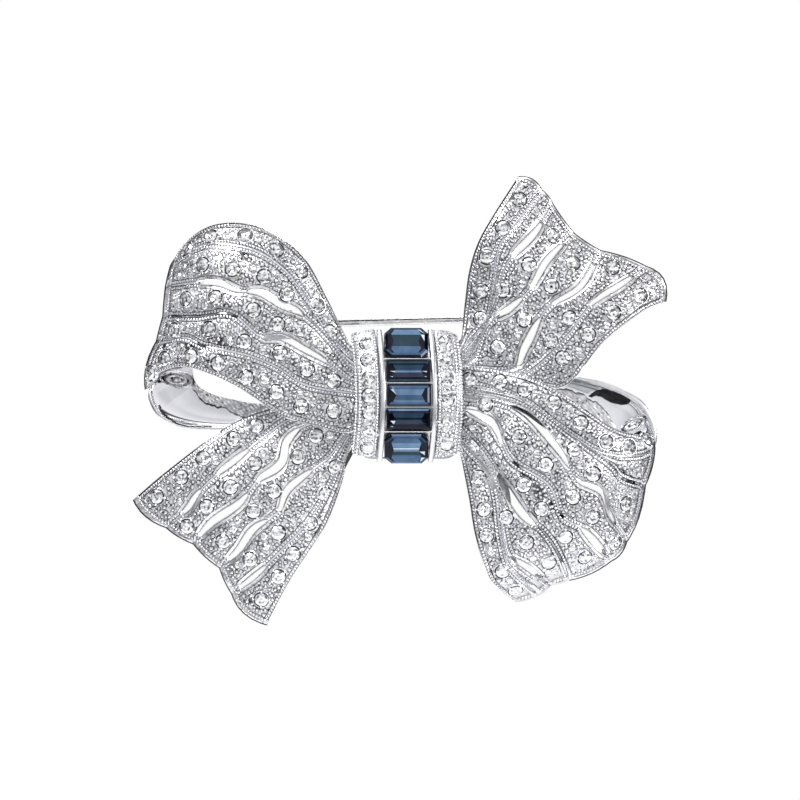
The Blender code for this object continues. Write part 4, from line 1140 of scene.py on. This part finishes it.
def knot_path(top_short, low_short, legs=False):
    """(y, z, outward y, outward z) along the knot's front arc, and its legs to the back plate."""
    half = (KNOT_TOP - KNOT_BOTTOM) / 2
    top = math.asin((half - top_short) / KNOT_RADIUS)
    low = math.asin((half - low_short) / KNOT_RADIUS)
    path = []
    for angle in np.linspace(top, -low, KNOT_STEPS + 1):
        out = (-math.cos(angle), math.sin(angle))
        path.append((KNOT_CENTRE_Y + KNOT_RADIUS * out[0], KNOT_CENTRE_Z + KNOT_RADIUS * out[1], *out))
    if not legs:
        return path
    top_leg = [(-1.05, LEG_END, 0, 1), (-3.5, LEG_END + 0.5, -0.1, 1)]
    low_leg = [(y, -z, out_y, -out_z) for y, z, out_y, out_z in reversed(top_leg)]
    return top_leg + path + low_leg


def sweep(shape, section, path, material=0):
    """A closed body: a section of (x, height) points carried along a path."""
    rows = []
    for y, z, out_y, out_z in path:
        shift = bow_shift(z)
        rows.append([(x + shift, y + out_y * up, z + out_z * up) for x, up in section])
    count = len(section)
    grid = np.arange(len(rows) * count).reshape(len(rows), count)
    side = np.roll(grid, -1, axis=1)
    quads = np.stack([grid[:-1], side[:-1], side[1:], grid[1:]], axis=-1).reshape(-1, 4)
    shape.add(np.array(rows).reshape(-1, 3), [quads], material)
    start = shape.count - len(rows) * count
    for cap in (list(range(count))[::-1], [len(rows) * count - count + k for k in range(count)]):
        shape.faces.append([start + k for k in cap])
        shape.materials.append(material)


def bar_on_knot(shape, x_half, z, low, high, half_thick):
    """A bar across the channel with a rounded top edge."""
    y, height, tilt = on_knot(z, 0)
    section = [(-half_thick, low), (half_thick, low), (half_thick, high - 0.05), (half_thick * 0.5, high),
               (-half_thick * 0.5, high), (-half_thick, high - 0.05)]
    points = []
    for x in (-x_half, x_half):
        for across, up in section:
            points.append((x + bow_shift(z), y - up * math.cos(tilt) + across * math.sin(tilt),
                           height + up * math.sin(tilt) + across * math.cos(tilt)))
    n = len(section)
    quads = [(k, (k + 1) % n, n + (k + 1) % n, n + k) for k in range(n)]
    shape.add(points, [quads, [list(range(n))[::-1], list(range(n, 2 * n))]])


def dress_channel():
    """The knot's channel with its two rounded rims, and the bars between the blue crystals."""
    low = -RIM_HEIGHT - FLOOR
    rim = [(-CHANNEL_OUTER, low), (-CHANNEL_OUTER, -0.22), (-CHANNEL_OUTER + 0.05, -0.1),
           (-CHANNEL_OUTER + 0.14, -0.02), (-CHANNEL_OUTER + 0.26, 0.0), (-CHANNEL_HALF - 0.18, -0.01),
           (-CHANNEL_HALF - 0.07, -0.05), (-CHANNEL_HALF, -0.14), (-CHANNEL_HALF + 0.02, -RIM_HEIGHT)]
    section = rim + [(-x, up) for x, up in reversed(rim)]
    shape = Shape()
    sweep(shape, section, knot_path(RIM_SHORT, RIM_SHORT, legs=True))
    for z in DIVIDERS:
        bar_on_knot(shape, CHANNEL_HALF + 0.2, z, -RIM_HEIGHT - 0.3, -0.04, 0.08)
    shape.build("knot_channel_polished", [RIM_METAL], "knot_metal", ["knot_channel"])


# Each blue crystal's painted reflections: the tones of its upper steps, its table's bands and its lower
# steps from top to bottom, as (share of the height from the top, tone below it), then which ends of its
# table carry a painted glint.
BLUE_BANDS = [
    {"steps": ("mid", "pale"), "table": [(0.0, "pale"), (0.22, "teal"), (0.64, "slate"), (0.72, "mid")],
     "low_steps": ("mid", "navy"), "glints": ("right_high",)},
    {"steps": ("teal", "teal"), "table": [(0.0, "teal"), (0.14, "mid"), (0.56, "pale"), (0.66, "slate")],
     "low_steps": ("navy", "teal"), "glints": ("left_low", "right_low")},
    {"steps": ("navy", "mid"), "table": [(0.0, "mid"), (0.1, "pale"), (0.5, "mid"), (0.86, "pale")],
     "low_steps": ("mid", "teal"), "glints": ("left_high",)},
    {"steps": ("pale", "slate"), "table": [(0.0, "mid"), (0.32, "teal"), (0.55, "slate"), (0.8, "navy")],
     "low_steps": ("navy", "navy"), "glints": ("left_low",)},
    {"steps": ("pale", "mid"), "table": [(0.0, "mid"), (0.2, "pale"), (0.42, "glint"), (0.46, "pale"),
                                         (0.56, "teal"), (0.72, "mid")],
     "low_steps": ("mid", "mid"), "glints": ("right_low",)},
]

# Rings of a blue crystal as (inset from its outline, height above its girdle): below, then the crown.
PAVILION_RINGS = ((0.8, -0.68), (0.45, -0.5), (0.03, -0.14))
STEP_INSETS = ((0.03, -0.02), (0.22, 0.13), (0.42, 0.24))


def blue_shell(shape, outline, bands):
    """A blue crystal's pavilion and crown steps, and the points that they use."""
    rings = [*PAVILION_RINGS, *STEP_INSETS]
    points = [p for inset, level in rings for p in outline(inset, level)]
    # The sides of an outline, in order: top, upper left corner, left, lower left, bottom, and so on.
    upper, lower = bands["steps"], bands["low_steps"]
    # The steps' tones are painted reflections, painted near black at the crystal's ends and on its
    # pavilion.
    crown = {0: upper, 1: ("navy", upper[1]), 2: ("navy", "navy"), 3: ("navy", lower[0]),
             4: (lower[1], lower[0]), 5: ("navy", lower[0]), 6: ("navy", "navy"), 7: ("navy", upper[1])}
    groups = {tone: [] for tone in TONES}
    for ring in range(len(rings) - 1):
        for k in range(8):
            nxt = (k + 1) % 8
            quad = (ring * 8 + k, ring * 8 + nxt, (ring + 1) * 8 + nxt, (ring + 1) * 8 + k)
            below = len(PAVILION_RINGS)
            tone = "navy" if ring < below else crown[k][ring - below]
            groups[tone].append(quad)
    for tone, quads in groups.items():
        shape.faces += [list(q) for q in quads]
        shape.materials += [TONES.index(tone)] * len(quads)
    shape.faces.append(list(range(8))[::-1])
    shape.materials.append(TONES.index("navy"))
    return points


def blue_table(shape, start, half_x, half_z, level, cut, bands):
    """A blue crystal's table in bands of painted reflection, with painted dark ends that may glint, and its
    points.
    """
    edges = bands["table"] + [(1.0, None)]
    corner_share = cut / (2 * half_z)
    marks = sorted({share for share, _ in edges} | {corner_share, 0.5, 1 - corner_share})
    points = []
    for mark in marks:
        v = half_z * (1 - 2 * mark)
        reach = half_x - max(0.0, abs(v) - (half_z - cut))
        dark = min(0.62 - 0.4 * abs(v) / half_z, reach)
        roof = level + 0.03 * (1 - abs(v) / half_z)
        points += [(-reach, v, level), (-reach + dark, v, roof), (reach - dark, v, roof), (reach, v, level)]
    for k, (mark, following) in enumerate(zip(marks, marks[1:])):
        tone = [t for share, t in edges if share <= mark + 1e-9][-1]
        a, b = start + 4 * k, start + 4 * (k + 1)
        half = "high" if following <= 0.5 + 1e-9 else "low"
        for column, side in ((0, "left"), (2, "right")):
            # A lit end triangle is a painted glint; the others are painted near black.
            lit = k % 2 == 0 and f"{side}_{half}" in bands["glints"]
            shape.faces.append([a + column, b + column, b + column + 1])
            shape.faces.append([a + column, b + column + 1, a + column + 1])
            shape.materials += [TONES.index("navy"), TONES.index("glint" if lit else "navy")]
        shape.faces.append([a + 1, b + 1, b + 2, a + 2])
        shape.materials.append(TONES.index(tone))
    return points


def dress_blue(number, z, long, high, corner, bands):
    """A step-cut blue crystal on its foil: crown steps, a table banded with painted reflections, girdle and
    pavilion.
    """

    def corner_cut(inset):
        """How much of each corner is cut off, this far inside the outline."""
        return max(corner - inset * 0.6, 0.1)

    def outline(inset, level):
        """The crystal's eight-sided outline, this far inside it and at this level."""
        half_x, half_z = long / 2 - inset, high / 2 - inset
        cut = corner_cut(inset)
        flat = [(half_x - cut, half_z), (-half_x + cut, half_z), (-half_x, half_z - cut),
                (-half_x, -half_z + cut), (-half_x + cut, -half_z), (half_x - cut, -half_z),
                (half_x, -half_z + cut), (half_x, half_z - cut)]
        return [(*point, level) for point in flat]

    y, height, tilt = on_knot(z, -0.12)
    centre = np.array([bow_shift(z), y, height])
    up = (0, math.sin(tilt), math.cos(tilt))
    normal = (0, -math.cos(tilt), math.sin(tilt))
    axes = np.array([(1, 0, 0), up, normal], float)
    shape = Shape()
    shell = blue_shell(shape, outline, bands)
    inset, level = STEP_INSETS[-1]
    table = blue_table(shape, len(shell), long / 2 - inset, high / 2 - inset, level, corner_cut(inset),
                       bands)
    points = np.array(shell + table, float)
    shape.points.append(centre + points @ axes)
    shape.count = len(points)
    shape.build(f"blue_crystal_{number}", list(BLUES.values()), "blue_stone", [f"blue_stone_{number}"],
                smooth=0)


COLLAR_INNER = CHANNEL_OUTER + 0.12  # the collars' edge beside the channel, from its middle
# A collar's section, as (distance from its inner edge, height above the knot's arc), and the part of it
# that is its face.
COLLAR_SECTION = [(0.0, -1.9), (0.0, -0.75), (0.08, -0.66), (0.25, -0.6), (1.0, -0.72), (1.9, -0.95),
                  (2.35, -1.22), (2.5, -1.4), (2.5, -2.25), (1.8, -2.0)]
COLLAR_FACE = COLLAR_SECTION[1:8]
COLLAR_ROWS = ((0.18, 0.15), (2.02, 0.19), (2.42, 0.17))  # rows of beads: (distance, radius)
COLLAR_GRAINS = (0.14, 0.27)
COLLAR_TRIES = 900
COLLAR_END = 0.6  # how far from the knot's ends the beads stop
COLLAR_STONE_DEPTH = -0.78


def collar_point(side, x, z):
    """A point on a collar's face this far from the middle, and its normal."""
    y, height, tilt = on_knot(z, 0)
    face_x = np.array([COLLAR_INNER + p[0] for p in COLLAR_FACE])
    face_up = np.array([p[1] for p in COLLAR_FACE])
    up = float(np.interp(x, face_x, face_up))
    slope = (np.interp(x + 0.05, face_x, face_up) - np.interp(x - 0.05, face_x, face_up)) / 0.1
    n = np.array([-slope * side, -math.cos(tilt), math.sin(tilt)])
    point = np.array([side * x + bow_shift(z), y - up * math.cos(tilt), height + up * math.sin(tilt)])
    return point, n / np.linalg.norm(n)


def collar_seats(side, seats):
    """The centre and normal of each of a collar's seats."""
    centres, normals = [], []
    for stone_x, z in seats:
        y, height, tilt = on_knot(z, COLLAR_STONE_DEPTH)
        n = np.array([0.12 * side, -math.cos(tilt), math.sin(tilt)])
        centres.append((side * stone_x, y, height))
        normals.append(n / np.linalg.norm(n))
    return np.array(centres), np.array(normals)


def dress_collar(name, side, seats):
    """A collar beside the channel, with its milgrain edges, grains and crystals."""
    section = [(side * (COLLAR_INNER + x), up) for x, up in COLLAR_SECTION]
    metal, stones = Shape(), Shape()
    sweep(metal, section, knot_path(COLLAR_TOP_SHORT, COLLAR_SHORT), FLOORS)
    centres, normals = collar_seats(side, seats)
    set_stones(metal, stones, centres, normals, COLLAR_STONE / 2 + 0.04)

    low, high = KNOT_BOTTOM + COLLAR_END, KNOT_TOP - COLLAR_END
    beads = [(*collar_point(side, COLLAR_INNER + x, z), size)
             for x, size in COLLAR_ROWS for z in np.arange(low, high, 2.1 * size)]
    points, around, sizes = (list(column) for column in zip(*beads))
    taken = [centres, np.array(points)]
    radii = [np.full(len(centres), COLLAR_STONE / 2 * RIM_SHARE), np.array(sizes)]
    for _ in range(COLLAR_TRIES):
        x, z = RANDOM.uniform(COLLAR_INNER + 0.3, COLLAR_INNER + 2.1), RANDOM.uniform(low, high)
        size = RANDOM.uniform(*COLLAR_GRAINS)
        point, n = collar_point(side, x, z)
        gap = np.linalg.norm(np.vstack(taken) - point, axis=1) - np.concatenate(radii) - size * 0.85
        if gap.min() > 0:
            taken.append(point[None])
            radii.append(np.array([size]))
            points.append(point)
            around.append(n)
            sizes.append(size)
    points, around, sizes = np.array(points), np.array(around), np.array(sizes)
    stamp(metal, *GRAIN, points, around, sizes, BEADS)
    # A ring painted near black as shade around each grain.
    stamp(metal, *GRAIN_SHADE_RING, points + around * 0.01, around, sizes, PAINTED_SHADE)
    metal.build(f"{name}_collar_casting", CASTING_METALS, "knot_metal", [f"{name}_collar"])
    stones.build(f"{name}_collar_crystals", [CRYSTAL], "clear_stone",
                 [f"{name}_collar_stone_{k + 1}" for k in range(len(seats))], smooth=0)


# ---- The object ----

dress_ribbon("left_loop", LEFT_LOOP, SHEET)
dress_ribbon("right_loop", RIGHT_LOOP, SHEET)
dress_ribbon("left_tail", LEFT_TAIL, TAIL_SHEET)
dress_ribbon("right_tail", RIGHT_TAIL, TAIL_SHEET)
dress_return("left_loop_return", LEFT_RETURN, Ribbon(LEFT_LOOP))
dress_return("right_loop_return", RIGHT_RETURN, Ribbon(RIGHT_LOOP))
dress_channel()
cuts = (KNOT_TOP,) + DIVIDERS + (KNOT_BOTTOM,)
for order, (top, bottom) in enumerate(zip(cuts, cuts[1:]), 1):
    at_end = order in (1, len(cuts) - 1)
    dress_blue(order, mid_height(top, bottom), BLUE_LONG, BLUE_END if at_end else BLUE_MID + 0.04,
               BLUE_CUT if at_end else MID_CUT, BLUE_BANDS[order - 1])
dress_collar("left", -1, LEFT_COLLAR_STONES)
dress_collar("right", 1, RIGHT_COLLAR_STONES)


def pin_wire():
    """Drawn steel wire, with a painted dark reflection along its upper side."""
    made, tree, shader, place = node_material("pin_wire_steel")
    parts = tree.nodes.new("ShaderNodeSeparateXYZ")
    facing = tree.nodes.new("ShaderNodeTexCoord")
    tree.links.new(facing.outputs["Normal"], parts.inputs["Vector"])
    light = grey_ramp(tree, noise(tree, place, 4.0, stretch=(0.08, 1, 1)), 0.72, 0.88)
    # Painted dark reflection: near black where the wire's surface faces part way up, light at its very top
    # and below.
    dark = ramp(tree, parts.outputs["Z"], [
        (0.3, (1, 1, 1)), (0.38, (0.02, 0.02, 0.022)), (0.84, (0.02, 0.02, 0.022)), (0.9, (0.9, 0.9, 0.9))])
    tree.links.new(times(tree, light, dark), shader.inputs["Base Color"])
    tree.links.new(grey_ramp(tree, noise(tree, place, 2.0), 0.2, 0.32), shader.inputs["Roughness"])
    shader.inputs["Metallic"].default_value = 1.0
    return made


FINDINGS = {
    "back_plate": BACK_METAL,
    "hinge_base": FINDING_METAL,
    "catch_base": FINDING_METAL,
    "catch_roller": FINDING_METAL,
    "hinge_rivet": STEEL,
    "pin_stem": pin_wire(),
}
for node, material in FINDINGS.items():
    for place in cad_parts[node].material_slots:
        place.material = material

# ---- Floor, light and camera ----

FRAME_WIDTH = 84.8  # how much the camera sees at FRAME_CENTRE
FRAME_CENTRE = (-0.85, -4.0, -0.3)
LENS = 150.0
SENSOR = 36.0
FLOOR_RADIUS = 120
FLOOR_HEIGHT = -60.0
FLOOR_SIDES = 96


def add_floor():
    """A round sheet of white paper, well below the brooch."""
    points = [(FLOOR_RADIUS * math.cos(a), FLOOR_RADIUS * math.sin(a), FLOOR_HEIGHT)
              for a in np.linspace(0, 2 * math.pi, FLOOR_SIDES, endpoint=False)]
    mesh = bpy.data.meshes.new("floor")
    mesh.from_pydata([[c * MM for c in p] for p in points], [], [list(range(FLOOR_SIDES))])
    mesh.materials.append(surface("floor_paper", (0.86, 0.86, 0.86), (0.9, 0.9, 0.9), (0.6, 0.8),
                                  metallic=0.0, per_mm=0.5, bump=0.05))
    floor = bpy.data.objects.new("floor", mesh)
    bpy.context.scene.collection.objects.link(floor)


def add_area(name, place, size, watts):
    """A round lamp in metres and watts, turned towards the brooch."""
    light = bpy.data.lights.new(name, "AREA")
    light.shape = "DISK"
    light.size = size
    light.energy = watts
    obj = bpy.data.objects.new(name, light)
    obj.location = Vector(place)
    obj.rotation_euler = (-Vector(place)).to_track_quat("-Z", "Y").to_euler()
    bpy.context.scene.collection.objects.link(obj)


def tent(tree, component, stops):
    """The tent's brightness over one component of a direction, as (position, grey, blue) stops."""
    made = tree.nodes.new("ShaderNodeMapRange")
    made.inputs["From Min"].default_value = -1.0
    tree.links.new(component, made.inputs["Value"])
    return ramp(tree, made.outputs["Result"], [(at, (grey, grey, blue)) for at, grey, blue in stops])


def light_the_studio():
    """A white tent, bright above and in front, with dark gaps below, at its sides and behind."""
    world = bpy.data.worlds.new("studio")
    bpy.context.scene.world = world
    world.use_nodes = True
    tree = world.node_tree
    background = tree.nodes["Background"]
    place = tree.nodes.new("ShaderNodeTexCoord")
    parts = tree.nodes.new("ShaderNodeSeparateXYZ")
    tree.links.new(place.outputs["Generated"], parts.inputs["Vector"])
    rise = tent(tree, parts.outputs["Z"], [
        (0.0, 0.45, 0.47), (0.14, 0.35, 0.37), (0.18, 0.03, 0.035), (0.31, 0.03, 0.035), (0.37, 0.6, 0.63),
        (0.5, 0.84, 0.87), (0.72, 1.0, 1.0), (0.78, 0.06, 0.07), (0.82, 0.06, 0.07), (0.87, 1.2, 1.2),
        (1.0, 1.2, 1.2)])
    sides = tent(tree, parts.outputs["X"], [
        (0.0, 0.85, 0.87), (0.08, 0.8, 0.82), (0.11, 0.04, 0.05), (0.16, 0.04, 0.05), (0.2, 0.95, 0.95),
        (0.8, 1.0, 1.0), (0.85, 0.05, 0.06), (0.89, 0.05, 0.06), (0.92, 0.8, 0.8), (1.0, 0.8, 0.8)])
    behind = tent(tree, parts.outputs["Y"], [
        (0.0, 1.0, 1.0), (0.47, 1.0, 1.0), (0.55, 0.05, 0.06), (0.87, 0.06, 0.07), (0.93, 0.9, 0.9),
        (1.0, 0.9, 0.9)])
    both = times(tree, times(tree, rise, sides), behind)
    seen = tree.nodes.new("ShaderNodeLightPath")
    shown = tree.nodes.new("ShaderNodeMix")
    shown.data_type = "RGBA"
    tree.links.new(seen.outputs["Is Camera Ray"], shown.inputs[0])
    tree.links.new(both, shown.inputs[6])
    shown.inputs[7].default_value = (1, 1, 1, 1)
    tree.links.new(shown.outputs[2], background.inputs["Color"])
    background.inputs["Strength"].default_value = 1.0
    add_area("key_light", (-0.18, -0.25, 0.3), 0.14, 1.3)
    add_area("fill_light", (0.3, -0.2, 0.05), 0.12, 0.5)
    add_area("back_light", (0.1, 0.35, 0.25), 0.2, 1.5)


def add_camera():
    """A long lens straight in front."""
    camera = bpy.data.cameras.new("camera")
    camera.lens = LENS
    camera.sensor_width = SENSOR
    camera.clip_start = 0.01
    camera.clip_end = 10.0
    obj = bpy.data.objects.new("camera", camera)
    away = FRAME_WIDTH * LENS / SENSOR
    obj.location = Vector((FRAME_CENTRE[0], FRAME_CENTRE[1] - away, FRAME_CENTRE[2])) * MM
    obj.rotation_euler = (math.pi / 2, 0, 0)
    bpy.context.scene.collection.objects.link(obj)
    bpy.context.scene.camera = obj


add_floor()
light_the_studio()
add_camera()
bpy.context.scene.view_settings.view_transform = "Standard"
